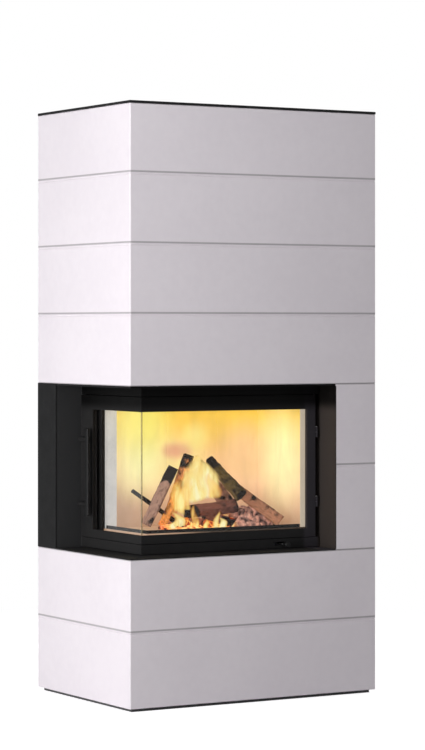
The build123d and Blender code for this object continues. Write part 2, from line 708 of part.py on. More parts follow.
def air_slots(z0, z1):
    """The pair of air slots, as blanks to cut through a plate."""
    half = AIR_SLOT_WIDTH / 2
    front = AIR_SLOT_Y - AIR_SLOT_LENGTH / 2
    rear = AIR_SLOT_Y + AIR_SLOT_LENGTH / 2
    left, right = [
        block(x - half, x + half, front, rear, z0, z1)
        for x in (AIR_X - AIR_SLOT_PITCH / 2, AIR_X + AIR_SLOT_PITCH / 2)
    ]
    return left + right


def make_air_box():
    """Fresh-air box under the floor plate, with rails in front of and behind the sliding valve."""
    x0 = AIR_X - AIR_BOX_HALF
    x1 = AIR_X + AIR_BOX_HALF
    top = AIR_BOX_TOP
    box = block(x0, x1, AIR_BOX_FRONT, AIR_BOX_REAR, AIR_BOX_BOTTOM, top)
    box -= block(
        x0 + THIN, x1 - THIN, AIR_BOX_FRONT + THIN, AIR_BOX_REAR - THIN, AIR_BOX_BOTTOM + THIN, top - THIN
    )
    box -= air_slots(top - THIN, top)
    box -= Pos(AIR_X, AIR_BOX_REAR, AIR_Z) * Rot(90, 0, 0) * Cylinder(AIR_R - THIN, AIR_INLET_CUT)
    rear = AIR_SLOT_Y + VALVE_HALF_Y + VALVE_GUIDE_GAP
    front = AIR_SLOT_Y - VALVE_HALF_Y - VALVE_GUIDE_GAP
    rod_side = AIR_ROD_HALF + AIR_ROD_PLAY
    box += block(x0, x1, rear, rear + VALVE_GUIDE, top, FLOOR_PLATE)
    box += block(x0, AIR_X - AIR_TRAVEL - rod_side, front - VALVE_GUIDE, front, top, FLOOR_PLATE)
    box += block(AIR_X + rod_side, x1, front - VALVE_GUIDE, front, top, FLOOR_PLATE)
    save(box, "air_box")


def make_air_control():
    """Sliding valve over the air slots, its rod out to the front, and the knob on the rod."""
    foot = AIR_BOX_TOP + VALVE_LIFT
    top = foot + VALVE_THICK
    front = AIR_SLOT_Y - VALVE_HALF_Y
    rear = AIR_SLOT_Y + VALVE_HALF_Y
    plate = block(AIR_X - VALVE_HALF_X, AIR_X + VALVE_HALF_X, front, rear, foot, top)
    plate -= air_slots(foot, top)
    rod = block(AIR_X - AIR_ROD_HALF, AIR_X + AIR_ROD_HALF, AIR_ROD_FRONT, front, foot, top)
    save(plate + rod, "air_slide_valve")

    profile = [
        (0.0, 0.0), (KNOB_NECK_R, 0.0), (KNOB_NECK_R, -KNOB_NECK), (KNOB_R, -KNOB_SHOULDER),
        (KNOB_R, -KNOB_RIM), (KNOB_FACE_R, -KNOB_LENGTH), (0.0, -KNOB_LENGTH),
    ]
    knob = turned_rearward(profile, AIR_X, (foot + top) / 2)
    save(Pos(0, AIR_ROD_FRONT, 0) * knob, "air_knob")


# ---- flue and heat store -------------------------------------------------------------------------
def spigot(foot, radius, start, stop_r):
    """Profile of a pipe end: its foot, a body up to a stop ring, and a slightly smaller end."""
    inner = foot[0][0]
    stop_front = CAVITY_Y - SPIGOT_PLATE
    end_r = radius - SPIGOT_STEP
    return [
        *foot, (radius, start), (radius, stop_front), (stop_r, stop_front), (stop_r, CAVITY_Y),
        (end_r, CAVITY_Y), (end_r, HALF_D), (inner, HALF_D),
    ]


def make_spigots():
    """The flue's outlet and the fresh-air inlet, each ending flush in its hole in the rear wall."""
    flue_start = FLUE_Y + ELBOW_R
    flue = spigot([(FLUE_R - FLUE_WALL, flue_start)], FLUE_R, flue_start, FLUE_PLATE_R)
    save(turned_rearward(flue, FLUE_X, FLUE_AXIS_Z), "flue_spigot")

    air_start = AIR_BOX_REAR + THIN
    collar = [(AIR_R - THIN, AIR_BOX_REAR), (AIR_COLLAR_R, AIR_BOX_REAR), (AIR_COLLAR_R, air_start)]
    air = spigot(collar, AIR_R, air_start, AIR_BEAD_R)
    save(turned_rearward(air, AIR_X, AIR_Z), "fresh_air_spigot")


def make_flue():
    """Collar, pipe and bend that take the smoke up through the store and towards the rear wall."""
    inner = FLUE_R - FLUE_WALL
    ledge_r = inner - COLLAR_LEDGE
    flange_r = STORE_INNER_R - COLLAR_FIT
    neck_r = FLUE_R + COLLAR_NECK_WALL
    collar = [
        (ledge_r, SHELL_Z1), (flange_r, SHELL_Z1), (flange_r, SHELL_Z1 + COLLAR_FLANGE),
        (neck_r + COLLAR_NECK_SPREAD, SHELL_Z1 + COLLAR_NECK_FOOT), (neck_r, COLLAR_TOP),
        (FLUE_R, COLLAR_TOP), (FLUE_R, PIPE_FOOT), (ledge_r, PIPE_FOOT),
    ]
    save(turned_upright(collar, FLUE_X, FLUE_Y), "flue_collar")

    bend_z = FLUE_AXIS_Z - ELBOW_R
    bead_z = bend_z - PIPE_BEAD_BELOW
    pipe = [
        (inner, PIPE_FOOT), (FLUE_R, PIPE_FOOT), (FLUE_R, bead_z - PIPE_BEAD_HALF),
        (FLUE_R + PIPE_BEAD_PROUD, bead_z), (FLUE_R, bead_z + PIPE_BEAD_HALF),
        (FLUE_R, bend_z), (inner, bend_z),
    ]
    save(turned_upright(pipe, FLUE_X, FLUE_Y), "flue_pipe")

    section = Pos(FLUE_X, FLUE_Y, bend_z) * (Circle(FLUE_R) - Circle(inner))
    bend_axis = Axis((FLUE_X, FLUE_Y + ELBOW_R, bend_z), (-1, 0, 0))
    save(revolve(section, bend_axis, 90), "flue_elbow")


def make_store():
    """Three heat-storing rings stacked round the pipe, each stepped to locate on the one below."""
    middle = (STORE_OUTER_R + STORE_INNER_R) / 2
    inner_step = middle - STORE_STEP_SLACK
    outer_step = middle + STORE_STEP_SLACK
    eased_r = STORE_OUTER_R - STORE_EDGE
    for i in range(STORE_RINGS):
        z0 = SHELL_Z1 + i * STORE_HEIGHT
        z1 = z0 + STORE_HEIGHT
        foot = [(inner_step, z0), (inner_step, z0 + STORE_STEP), (STORE_OUTER_R, z0 + STORE_STEP)]
        head = [(STORE_OUTER_R, z1 + STORE_STEP), (outer_step, z1 + STORE_STEP), (outer_step, z1)]
        if i == 0:
            foot = [(eased_r, z0), (STORE_OUTER_R, z0 + STORE_EDGE)]
        if i == STORE_RINGS - 1:
            head = [(STORE_OUTER_R, z1 - STORE_EDGE), (eased_r, z1)]
        profile = [(STORE_INNER_R, z0), *foot, *head, (STORE_INNER_R, z1)]
        save(turned_upright(profile, FLUE_X, FLUE_Y), f"storage_ring_{i + 1}")


# ---- two-sided door ------------------------------------------------------------------------------
def make_door_frame():
    """L-shaped door frame with one window that turns the corner, glass pockets and a rear cover strip."""
    frame = corner_band(DOOR_X, DOOR_RIGHT, DOOR_Y, DOOR_REAR, DOOR_THICK, DOOR_BOTTOM, DOOR_TOP)
    out_x = DOOR_X - 1.0
    out_y = DOOR_Y - 1.0
    in_x = DOOR_X + DOOR_THICK + 1.0
    in_y = DOOR_Y + DOOR_THICK + 1.0
    frame -= block(out_x, WINDOW_RIGHT, out_y, in_y, WINDOW_BOTTOM, WINDOW_TOP)
    frame -= block(out_x, in_x, out_y, WINDOW_REAR, WINDOW_BOTTOM, WINDOW_TOP)
    pocket_x = DOOR_X + FLANGE
    pocket_y = DOOR_Y + FLANGE
    frame -= block(pocket_x, POCKET_RIGHT, pocket_y, in_y, POCKET_BOTTOM, POCKET_TOP)
    frame -= block(pocket_x, in_x, pocket_y, POCKET_REAR, POCKET_BOTTOM, POCKET_TOP)
    strip_x = DOOR_X + COVER_THICK
    frame += block(DOOR_X, strip_x, DOOR_REAR, COVER_REAR, DOOR_BOTTOM, DOOR_TOP)
    for z in ARM_LEVELS:
        frame -= block(DOOR_X, strip_x, ARM_NOTCH_Y, COVER_REAR, z - ARM_NOTCH_HALF, z + ARM_NOTCH_HALF)
    outer = [
        e for e in frame.edges().filter_by(Axis.Z)
        if abs(e.center().X - DOOR_X) < NEAR and abs(e.center().Y - DOOR_Y) < NEAR
    ]
    save(chamfer(outer, DOOR_EDGE), "door_frame")


def make_glass():
    """Two ceramic glass panes that meet at the free corner, on tape, with a slim trim over the joint."""
    front = block(PANE_X, GLASS_RIGHT, PANE_Y, PANE_Y + GLASS_THICK, GLASS_BOTTOM, GLASS_TOP)
    save(front, "front_glass")
    side_y0 = PANE_Y + GLASS_THICK + SILICONE
    side = block(PANE_X, PANE_X + GLASS_THICK, side_y0, GLASS_REAR, GLASS_BOTTOM, GLASS_TOP)
    save(side, "side_glass")

    tape_x = PANE_X - GLASS_TAPE
    tape_y = PANE_Y - GLASS_TAPE
    from_corner = TRIM_LEG + 2.0
    strips = []
    for low, high in ((GLASS_BOTTOM, GLASS_BOTTOM + TAPE_WIDTH), (GLASS_TOP - TAPE_WIDTH, GLASS_TOP)):
        strips.append(block(PANE_X + from_corner, GLASS_RIGHT, tape_y, PANE_Y, low, high))
        strips.append(block(tape_x, PANE_X, PANE_Y + from_corner, GLASS_REAR, low, high))
    low = GLASS_BOTTOM + TAPE_WIDTH + 1.0
    high = GLASS_TOP - TAPE_WIDTH - 1.0
    strips.append(block(GLASS_RIGHT - TAPE_WIDTH, GLASS_RIGHT, tape_y, PANE_Y, low, high))
    strips.append(block(tape_x, PANE_X, GLASS_REAR - TAPE_WIDTH, GLASS_REAR, low, high))
    save(group(strips), "glass_tape")

    out_x = PANE_X - TRIM_THICK
    out_y = PANE_Y - TRIM_THICK
    end_x = PANE_X + TRIM_LEG
    end_y = PANE_Y + TRIM_LEG
    outline = [
        (out_x, out_y), (end_x, out_y), (end_x, PANE_Y), (PANE_X, PANE_Y), (PANE_X, end_y), (out_x, end_y),
    ]
    save(prism(outline, WINDOW_BOTTOM, WINDOW_TOP), "glass_corner_trim")


def screw_head():
    """A hexagonal screw head standing on its seat."""
    return extrude(RegularPolygon(SCREW_HEAD_R, 6), amount=SCREW_HEAD_HEIGHT)


def make_retainers():
    """Bars that hold the panes in their pockets, and the screws along the two long ones."""
    bar = RETAINER
    x = PANE_X + GLASS_THICK
    y = PANE_Y + GLASS_THICK
    low = POCKET_BOTTOM + bar
    high = POCKET_TOP - bar
    bars = [
        corner_band(x, GLASS_RIGHT, y, GLASS_REAR, bar, POCKET_BOTTOM, low),
        corner_band(x, GLASS_RIGHT, y, GLASS_REAR, bar, high, POCKET_TOP),
        block(GLASS_RIGHT - bar, GLASS_RIGHT, y, y + bar, low + 1.0, high - 1.0),
        block(x, x + bar, GLASS_REAR - bar, GLASS_REAR, low + 1.0, high - 1.0),
    ]
    save(group(bars), "glass_retainers")

    screws = []
    for z in (low - bar / 2, high + bar / 2):
        for screw_x in RETAINER_SCREW_X:
            screws.append(Pos(screw_x, y + bar, z) * Rot(-90, 0, 0) * screw_head())
        for screw_y in RETAINER_SCREW_Y:
            screws.append(Pos(x + bar, screw_y, z) * Rot(0, 90, 0) * screw_head())
    save(group(screws), "retainer_screws")


def make_gasket():
    """Rope seal on the inner face of the door frame, one closed loop that turns the corner twice."""
    depth = GASKET_SPACE - GASKET_GAP
    x0 = DOOR_X + DOOR_THICK
    y0 = DOOR_Y + DOOR_THICK
    low = DOOR_BOTTOM + 4.0
    high = DOOR_TOP - GASKET_WIDTH
    right = DOOR_RIGHT - 4.0
    rear = DOOR_REAR - 14.0
    loop = corner_band(x0, right, y0, rear, depth, low, low + GASKET_WIDTH)
    loop += corner_band(x0, right, y0, rear, depth, high - GASKET_WIDTH, high)
    loop += block(right - GASKET_WIDTH, right, y0, y0 + depth, low, high)
    loop += block(x0, x0 + depth, rear - GASKET_WIDTH, rear, low, high)
    save(loop, "door_gasket")


def make_hinges():
    """Two lift-off barrel hinges between the door's right edge and the fixed frame."""
    brackets = []
    pins = []
    lugs = []
    for z in HINGE_LEVELS:
        top = z + KNUCKLE_LENGTH
        knuckle = upright(HINGE_X, HINGE_Y, KNUCKLE_R, z, top)
        arm_x0 = DOOR_RIGHT + HINGE_ARM_INSET
        arm = block(arm_x0, HINGE_X + KNUCKLE_R - 1.0, HINGE_Y, SEAL_Y, z, top)
        brackets.append(knuckle + arm - upright(HINGE_X, HINGE_Y, HINGE_PIN_R, z, top))

        lug_z0 = top + HINGE_GAP
        lug_z1 = lug_z0 + KNUCKLE_LENGTH
        pin = upright(HINGE_X, HINGE_Y, HINGE_PIN_R, z, lug_z1 + HINGE_PIN_PROUD)
        pins.append(chamfer(pin.edges().sort_by(Axis.Z)[-1], 1.0))

        half = HINGE_TAB / 2
        front = HINGE_Y - KNUCKLE_R
        rear = HINGE_Y + KNUCKLE_R
        lug = upright(HINGE_X, HINGE_Y, KNUCKLE_R, lug_z0, lug_z1)
        lug -= block(DOOR_RIGHT - KNUCKLE_R, DOOR_RIGHT, front, rear, lug_z0, lug_z1)
        lug += block(DOOR_RIGHT, HINGE_X, HINGE_Y - half, HINGE_Y + half, lug_z0, lug_z1)
        lugs.append(lug - upright(HINGE_X, HINGE_Y, HINGE_PIN_R + HINGE_CLEARANCE, lug_z0, lug_z1))
    save(group(brackets), "hinge_brackets")
    save(group(pins), "hinge_pins")
    save(group(lugs), "hinge_lugs")


def sector(radius, start, end, z0, z1):
    """A pie-shaped plate round the latch rod, between two angles in degrees."""
    steps = 6
    points = [(ROD_X, ROD_Y)]
    reach = radius / cos(radians((end - start) / steps / 2))
    for i in range(steps + 1):
        angle = radians(start + (end - start) * i / steps)
        points.append((ROD_X + reach * cos(angle), ROD_Y + reach * sin(angle)))
    return prism(points, z0, z1) & upright(ROD_X, ROD_Y, radius, z0, z1)


def make_hook(z):
    """Latch hook: a hub on the rod and a beak whose curved slot swallows the keeper pin."""
    top = z + HOOK_THICK
    plate = sector(HOOK_OUTER_R, KEEPER_ANGLE - HOOK_BACK, KEEPER_ANGLE + HOOK_BEAK, z, top)
    plate += upright(ROD_X, ROD_Y, HOOK_HUB_R, z, top)
    half = HOOK_SLOT / 2
    slot = sector(HOOK_ARC_R + half, KEEPER_ANGLE - SLOT_BACK, KEEPER_ANGLE + SLOT_MOUTH, z, top)
    slot -= upright(ROD_X, ROD_Y, HOOK_ARC_R - half, z, top)
    return plate - slot


def make_latch_rod():
    """Rod with two hooks in the door's rear edge, and the three bearings that it turns in."""
    rod = upright(ROD_X, ROD_Y, ROD_R, ROD_BOTTOM, ROD_TOP)
    for z in HOOK_LEVELS:
        rod += make_hook(z)
    save(rod, "latch_rod")

    bearings = []
    for z in BEARING_LEVELS:
        top = z + BEARING_HEIGHT
        lug = block(ROD_X - BEARING_R, ROD_X + BEARING_R, DOOR_REAR, ROD_Y, z, top)
        lug += upright(ROD_X, ROD_Y, BEARING_R, z, top)
        bearings.append(lug - upright(ROD_X, ROD_Y, ROD_R + HINGE_CLEARANCE, z, top))
    save(group(bearings), "latch_bearings")


def make_keepers():
    """Fixed keepers: a plate with two ears and a pin between them, one for each hook."""
    x = ROD_X + HOOK_ARC_R * cos(radians(KEEPER_ANGLE))
    y = ROD_Y + HOOK_ARC_R * sin(radians(KEEPER_ANGLE))
    keepers = []
    for z in HOOK_LEVELS:
        low = z - KEEPER_GAP
        high = z + HOOK_THICK + KEEPER_GAP
        foot = low - KEEPER_PLATE
        plate_x = SHELL_X0 - KEEPER_PLATE
        plate_y = y - 2 * KEEPER_EAR_R
        keeper = block(plate_x, SHELL_X0, plate_y, y + KEEPER_REAR, foot, high + KEEPER_PLATE)
        for ear in (foot, high):
            ear_top = ear + KEEPER_PLATE
            keeper += block(x, SHELL_X0, y - KEEPER_EAR_R, y + KEEPER_EAR_R, ear, ear_top)
            keeper += upright(x, y, KEEPER_EAR_R, ear, ear_top)
        keepers.append(keeper + upright(x, y, KEEPER_PIN_R, low, high))
    save(group(keepers), "latch_keepers")


def make_handle():
    """Two cranked arms on the rod, and the upright grip let on to their ends."""
    length = ROD_Y - HANDLE_Y
    lean = degrees(atan2(CRANK_X - HANDLE_X, length))
    reach = length / cos(radians(lean))
    limb = Rot(0, 0, -lean) * Pos(0, -reach / 2, 0) * Box(ARM_LIMB, reach, 2 * ARM_HALF)
    arms = []
    for z in ARM_LEVELS:
        low = z - ARM_HALF
        high = z + ARM_HALF
        arm = upright(ROD_X, ROD_Y, ARM_HUB_R, low, high)
        arm += block(CRANK_X - ARM_HALF, ROD_X, ROD_Y - ARM_HALF, ROD_Y + ARM_HALF, low, high)
        arm += Pos(CRANK_X, ROD_Y, z) * limb
        arms.append(arm - upright(ROD_X, ROD_Y, ROD_R, low, high))
    save(group(arms), "handle_arms")

    left = HANDLE_X - HANDLE_HALF_X
    right = HANDLE_X + HANDLE_HALF_X
    front = HANDLE_Y - HANDLE_HALF_Y
    rear = HANDLE_Y + HANDLE_HALF_Y
    grip = block(left, right, front, rear, HANDLE_BOTTOM, HANDLE_TOP)
    grip = fillet(grip.edges().filter_by(Axis.Z), HANDLE_ROUND)
    ends = grip.faces().sort_by(Axis.Z)
    grip = chamfer(ends[0].edges() + ends[-1].edges(), HANDLE_END)
    for arm in arms:
        grip -= arm
    save(grip, "door_handle")


# ---- firewood ------------------------------------------------------------------------------------
# foot, top, radius, sides and top-to-foot ratio of each log on the fire: three on the hearth,
# one across them, and six that lean on these and on each other
LOGS = [
    ((-132.0, -106.0, 542.8), (-122.0, -36.0, 542.8), 22.0, 6, 0.95),
    ((-70.0, -134.0, 543.2), (-52.0, 6.0, 543.2), 20.0, 7, 0.95),
    ((6.0, -132.0, 548.7), (16.0, 8.0, 548.7), 29.0, 6, 0.95),
    ((40.0, -122.0, 597.9), (-118.0, -64.0, 577.4), 23.0, 7, 0.95),
    ((-202.0, 27.0, 533.3), (-126.1, -9.5, 706.0), 22.5, 7, 0.95),
    ((-158.0, 4.0, 530.1), (-99.7, -27.6, 672.0), 15.5, 5, 0.9),
    ((-107.5, 59.0, 532.2), (-83.0, -33.0, 752.0), 21.5, 7, 0.9),
    ((129.0, 8.0, 541.1), (-57.8, -37.0, 728.0), 26.0, 7, 0.94),
    ((57.0, -112.0, 625.4), (9.3, -0.4, 736.2), 26.5, 7, 0.6),
    ((205.0, -118.0, 540.8), (55.6, -26.7, 672.0), 22.0, 6, 0.92),
]
TWIG = ((-83.1, 24.4, 529.5), (-239.3, 49.9, 643.0), 6.5, 5, 0.7)
LOG_SWELL = (1.0, 0.86, 0.97, 0.8, 0.94, 0.88, 1.0, 0.83)


def log_between(foot, top, radius, sides, shrink):
    """A split log: an uneven polygon section, drawn out from its foot to a slightly thinner top."""
    start = Vector(*foot)
    axis = Vector(*top) - start
    plane = Plane(origin=start, z_dir=axis)
    outline = []
    for i in range(sides):
        angle = radians(360.0 * i / sides)
        reach = radius * LOG_SWELL[i % len(LOG_SWELL)]
        outline.append((reach * cos(angle), reach * sin(angle)))
    tip_outline = [(x * shrink, y * shrink) for x, y in outline]
    base = plane * make_face(Polyline(*outline, close=True))
    tip = plane.offset(axis.length) * make_face(Polyline(*tip_outline, close=True))
    return loft([base, tip])


def make_firewood():
    """The load as the photograph shows it: logs leaning together over those on the hearth, and a twig."""
    save(group(log_between(*log) for log in LOGS), "firewood")
    save(log_between(*TWIG), "kindling")


make_casing()
make_top_plate()
make_lintel_beam()
make_recess_sheets()
make_stand()
make_shell()
make_front_frame()
make_hearth()
make_linings()
make_baffles()
make_grate()
make_ash_well()
make_air_box()
make_air_control()
make_spigots()
make_flue()
make_store()
make_door_frame()
make_glass()
make_retainers()
make_gasket()
make_hinges()
make_latch_rod()
make_keepers()
make_handle()
make_firewood()
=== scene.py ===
import json
import math

import bpy
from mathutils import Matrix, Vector, noise


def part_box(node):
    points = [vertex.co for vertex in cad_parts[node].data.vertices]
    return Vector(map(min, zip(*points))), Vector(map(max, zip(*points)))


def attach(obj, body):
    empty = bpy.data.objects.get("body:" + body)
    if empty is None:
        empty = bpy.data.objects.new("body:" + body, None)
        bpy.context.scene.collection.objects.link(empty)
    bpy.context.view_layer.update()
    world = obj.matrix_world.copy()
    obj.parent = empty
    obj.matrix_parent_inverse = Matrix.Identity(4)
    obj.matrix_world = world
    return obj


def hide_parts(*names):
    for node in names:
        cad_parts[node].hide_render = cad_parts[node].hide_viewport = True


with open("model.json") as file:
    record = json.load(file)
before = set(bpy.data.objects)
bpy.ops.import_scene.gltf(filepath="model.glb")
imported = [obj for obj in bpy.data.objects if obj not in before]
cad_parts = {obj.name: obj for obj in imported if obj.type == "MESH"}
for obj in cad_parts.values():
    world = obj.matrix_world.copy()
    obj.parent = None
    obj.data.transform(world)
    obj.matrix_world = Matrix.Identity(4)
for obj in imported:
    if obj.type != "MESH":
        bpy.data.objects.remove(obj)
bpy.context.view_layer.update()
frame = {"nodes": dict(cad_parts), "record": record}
NODES = frame["nodes"]
SLOT_OF = {part["node"]: part["material_slot"] for part in frame["record"]["subparts"]}

# Camera, from the vertical and receding edges of the casing in the photograph (metres, degrees, pixels).
CAMERA_PLACE = (-4.355, -7.360, 1.159)
CAMERA_TURN = 30.75
PHOTO_HEIGHT = 750.0
FOCAL_PIXELS = 2688.0
HORIZON_ABOVE_MIDDLE = 48.2
SENSOR = 36.0

# Faces of the solids that the fire and the finishes are set out from, in metres.
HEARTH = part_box("hearth_slabs")[1].z
FIREBOX_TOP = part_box("baffle_lower")[0].z
BACK_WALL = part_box("back_lining")[0].y
LINING_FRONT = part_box("right_lining")[0].y
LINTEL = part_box("front_frame")[1].z
RINGS = (
    "lower_ring_1", "lower_ring_2", "side_block_1", "side_block_2",
    "upper_ring_1", "upper_ring_2", "upper_ring_3",
)
JOINT_HEIGHTS = sorted({round(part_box(ring)[1].z, 4) for ring in RINGS})

FLOAT, COLOUR, VECTOR = "NodeSocketFloat", "NodeSocketColor", "NodeSocketVector"
WHITE, UNLIT = (1.0, 1.0, 1.0), (0.0, 0.0, 0.0)


# ---- node helpers: a value may be a number, a colour or vector, or another node's output ------------------
def link(tree, source, target):
    """Joins an output to an input."""
    tree.links.new(source, target)


def feed(tree, socket, value):
    """Gives a socket its value, or a link where the value is another node's output."""
    if isinstance(value, bpy.types.NodeSocket):
        link(tree, value, socket)
    elif isinstance(value, tuple) and socket.type == "RGBA":
        socket.default_value = (*value, 1.0)
    else:
        socket.default_value = value


def add_node(tree, kind, inputs=None, **settings):
    """A node with its settings made and then its inputs fed, by name or number."""
    made = tree.nodes.new(kind)
    for name, value in settings.items():
        setattr(made, name, value)
    for name, value in (inputs or {}).items():
        feed(tree, made.inputs[name], value)
    return made


def math_node(tree, operation, first, second=0.0, clamp=False):
    """A Math node; returns its output."""
    inputs = {0: first, 1: second}
    return add_node(tree, "ShaderNodeMath", inputs, operation=operation, use_clamp=clamp).outputs[0]


def multiply(tree, first, second, clamp=False):
    return math_node(tree, "MULTIPLY", first, second, clamp)


def subtract(tree, first, second, clamp=False):
    return math_node(tree, "SUBTRACT", first, second, clamp)


def vector_math(tree, operation, inputs):
    """A Vector Math node; returns its outputs."""
    return add_node(tree, "ShaderNodeVectorMath", inputs, operation=operation).outputs


def mix_colour(tree, factor, first, second, blend="MIX"):
    """A colour Mix node; returns its colour."""
    return add_node(
        tree, "ShaderNodeMix", {0: factor, 6: first, 7: second}, data_type="RGBA", blend_type=blend
    ).outputs[2]


def ramp_node(tree, factor, stops):
    """A colour ramp with the given (place, colour) stops; returns its colour."""
    made = add_node(tree, "ShaderNodeValToRGB", {0: factor})
    band = made.color_ramp
    band.elements[0].position, band.elements[0].color = stops[0][0], (*stops[0][1], 1.0)
    band.elements[1].position, band.elements[1].color = stops[-1][0], (*stops[-1][1], 1.0)
    for place, colour in stops[1:-1]:
        band.elements.new(place).color = (*colour, 1.0)
    return made.outputs[0]


def grey_ramp(tree, factor, stops):
    """A ramp of plain brightness, as a colour."""
    return ramp_node(tree, factor, [(place, (level, level, level)) for place, level in stops])


def span_node(tree, value, low, high, out_low=0.0, out_high=1.0, smooth=True):
    """Map Range: low..high of a value becomes out_low..out_high, clamped."""
    return add_node(
        tree, "ShaderNodeMapRange",
        {"Value": value, "From Min": low, "From Max": high, "To Min": out_low, "To Max": out_high},
        interpolation_type="SMOOTHSTEP" if smooth else "LINEAR",
    ).outputs["Result"]


def object_position(tree):
    """The point on the piece, in metres, in the stove's own frame."""
    return add_node(tree, "ShaderNodeTexCoord").outputs["Object"]


def attribute_node(tree, name):
    """A vector that the piece's points carry."""
    return add_node(tree, "ShaderNodeAttribute", attribute_name=name).outputs["Vector"]


def three_parts(tree, vector):
    """The three numbers of a vector, as three sockets."""
    return add_node(tree, "ShaderNodeSeparateXYZ", {0: vector}).outputs


def stretched(tree, place, scale):
    """A place with its axes scaled, for a pattern that runs along one of them."""
    return add_node(tree, "ShaderNodeMapping", {"Vector": place, "Scale": scale}).outputs[0]


def noise_node(tree, place, scale, detail, **others):
    """A Noise texture; returns its value."""
    inputs = {"Vector": place, "Scale": scale, "Detail": detail, **others}
    return add_node(tree, "ShaderNodeTexNoise", inputs).outputs[0]


def seam_node(tree, place, scale):
    """Distance to the nearest seam of a Voronoi texture."""
    inputs = {"Vector": place, "Scale": scale}
    return add_node(tree, "ShaderNodeTexVoronoi", inputs, feature="DISTANCE_TO_EDGE").outputs[0]


def distance_node(tree, place, middle):
    """How far a place is from a point, in metres."""
    return vector_math(tree, "DISTANCE", {0: place, 1: middle})["Value"]


def length_node(tree, vector):
    return vector_math(tree, "LENGTH", {0: vector})["Value"]


def scaled_colour(tree, colour, factor):
    """A colour made weaker or stronger, also past 1."""
    return vector_math(tree, "SCALE", {0: colour, "Scale": factor})[0]


def bump_node(tree, height, distance, strength=1.0):
    """A normal from a height; distance is the depth in metres of a height of 1."""
    inputs = {"Height": height, "Distance": distance, "Strength": strength}
    return add_node(tree, "ShaderNodeBump", inputs).outputs["Normal"]


def blend_shaders(tree, factor, first, second, output):
    """Mixes two shaders into the surface of a material or world output."""
    made = add_node(tree, "ShaderNodeMixShader", {0: factor, 1: first, 2: second})
    link(tree, made.outputs[0], output.inputs["Surface"])


def rays_node(tree, *kinds):
    """1 for rays of any of the named kinds, such as Is Camera Ray."""
    path = add_node(tree, "ShaderNodeLightPath")
    either = path.outputs[kinds[0]]
    for kind in kinds[1:]:
        either = math_node(tree, "MAXIMUM", either, path.outputs[kind])
    return either


# ---- shader groups: effects that several finishes share ---------------------------------------------------
def start_group(name, inputs, outputs):
    """An empty shader group with named sockets; returns the tree, what it is given and what it puts out."""
    tree = bpy.data.node_groups.new(name, "ShaderNodeTree")
    for label, kind, value in inputs:
        socket = tree.interface.new_socket(label, in_out="INPUT", socket_type=kind)
        socket.default_value = value
    for label, kind in outputs:
        tree.interface.new_socket(label, in_out="OUTPUT", socket_type=kind)
    return tree, add_node(tree, "NodeGroupInput").outputs, add_node(tree, "NodeGroupOutput").inputs


CLOUD_SHARE, SPECK_SHARE = 0.7, 0.3
SPECKS_A_CLOUD = 14.0
CLOUD_CONTRAST = (0.36, 0.64)


def build_mottle_group():
    """Cloudy two-tone colour, broken up at two scales."""
    tree, given, result = start_group(
        "mottle",
        [("Light", COLOUR, (*WHITE, 1.0)), ("Dark", COLOUR, (*UNLIT, 1.0)),
         ("Scale", FLOAT, 5.0), ("Amount", FLOAT, 1.0)],
        [("Colour", COLOUR), ("Mask", FLOAT)],
    )
    place = object_position(tree)
    clouds = noise_node(tree, place, given["Scale"], 5.0, Roughness=0.6)
    specks = noise_node(tree, place, multiply(tree, given["Scale"], SPECKS_A_CLOUD), 3.0)
    both = math_node(tree, "ADD", multiply(tree, clouds, CLOUD_SHARE), multiply(tree, specks, SPECK_SHARE))
    mask = multiply(tree, span_node(tree, both, *CLOUD_CONTRAST), given["Amount"], clamp=True)
    link(tree, mix_colour(tree, mask, given["Light"], given["Dark"]), result["Colour"])
    link(tree, mask, result["Mask"])
    return tree


def build_grain_group():
    """A fine even grain as a normal, with a slow unevenness under it."""
    tree, given, result = start_group(
        "surface_grain",
        [("Grain Scale", FLOAT, 300.0), ("Grain Height", FLOAT, 0.0002),
         ("Wave Scale", FLOAT, 6.0), ("Wave Height", FLOAT, 0.0005)],
        [("Normal", VECTOR)],
    )
    place = object_position(tree)
    grain = noise_node(tree, place, given["Grain Scale"], 4.0)
    wave = noise_node(tree, place, given["Wave Scale"], 2.0)
    height = math_node(
        tree, "ADD", multiply(tree, grain, given["Grain Height"]), multiply(tree, wave, given["Wave Height"])
    )
    link(tree, bump_node(tree, height, 1.0), result["Normal"])
    return tree


# The fire's light on the linings, from the hearth (0) to the baffle (1).
GLOW_BY_HEIGHT = [
    (0.0, (0.40, 0.22, 0.13)), (0.15, (0.60, 0.34, 0.20)), (0.35, (0.95, 0.53, 0.30)),
    (0.55, (0.97, 0.55, 0.235)), (0.75, (0.97, 0.60, 0.115)), (0.92, (0.95, 0.59, 0.055)),
    (1.0, (0.74, 0.44, 0.04)),
]
# Paler and darker places in it: middle in metres, reach, colour. One is on the right wall, three are pink.
GLOW_SPOTS = [
    ((-0.285, BACK_WALL, 0.590), 0.12, (0.37, 0.22, 0.145)),
    ((-0.185, BACK_WALL, 0.735), 0.13, (0.965, 0.975, 0.440)),
    ((0.240, -0.060, 0.740), 0.16, (0.975, 0.975, 0.470)),
    ((-0.190, BACK_WALL, 0.860), 0.12, (0.900, 0.830, 0.156)),
    ((-0.030, BACK_WALL, 0.720), 0.10, (0.950, 0.780, 0.300)),
    ((-0.090, BACK_WALL, 0.764), 0.028, (0.80, 0.40, 0.22)),
    ((-0.060, BACK_WALL, 0.762), 0.032, (0.76, 0.32, 0.20)),
    ((-0.025, BACK_WALL, 0.764), 0.032, (0.68, 0.34, 0.19)),
    ((0.190, BACK_WALL, 0.750), 0.10, (0.93, 0.56, 0.27)),
    ((0.012, BACK_WALL, 0.806), 0.050, (0.96, 0.80, 0.24)),
]
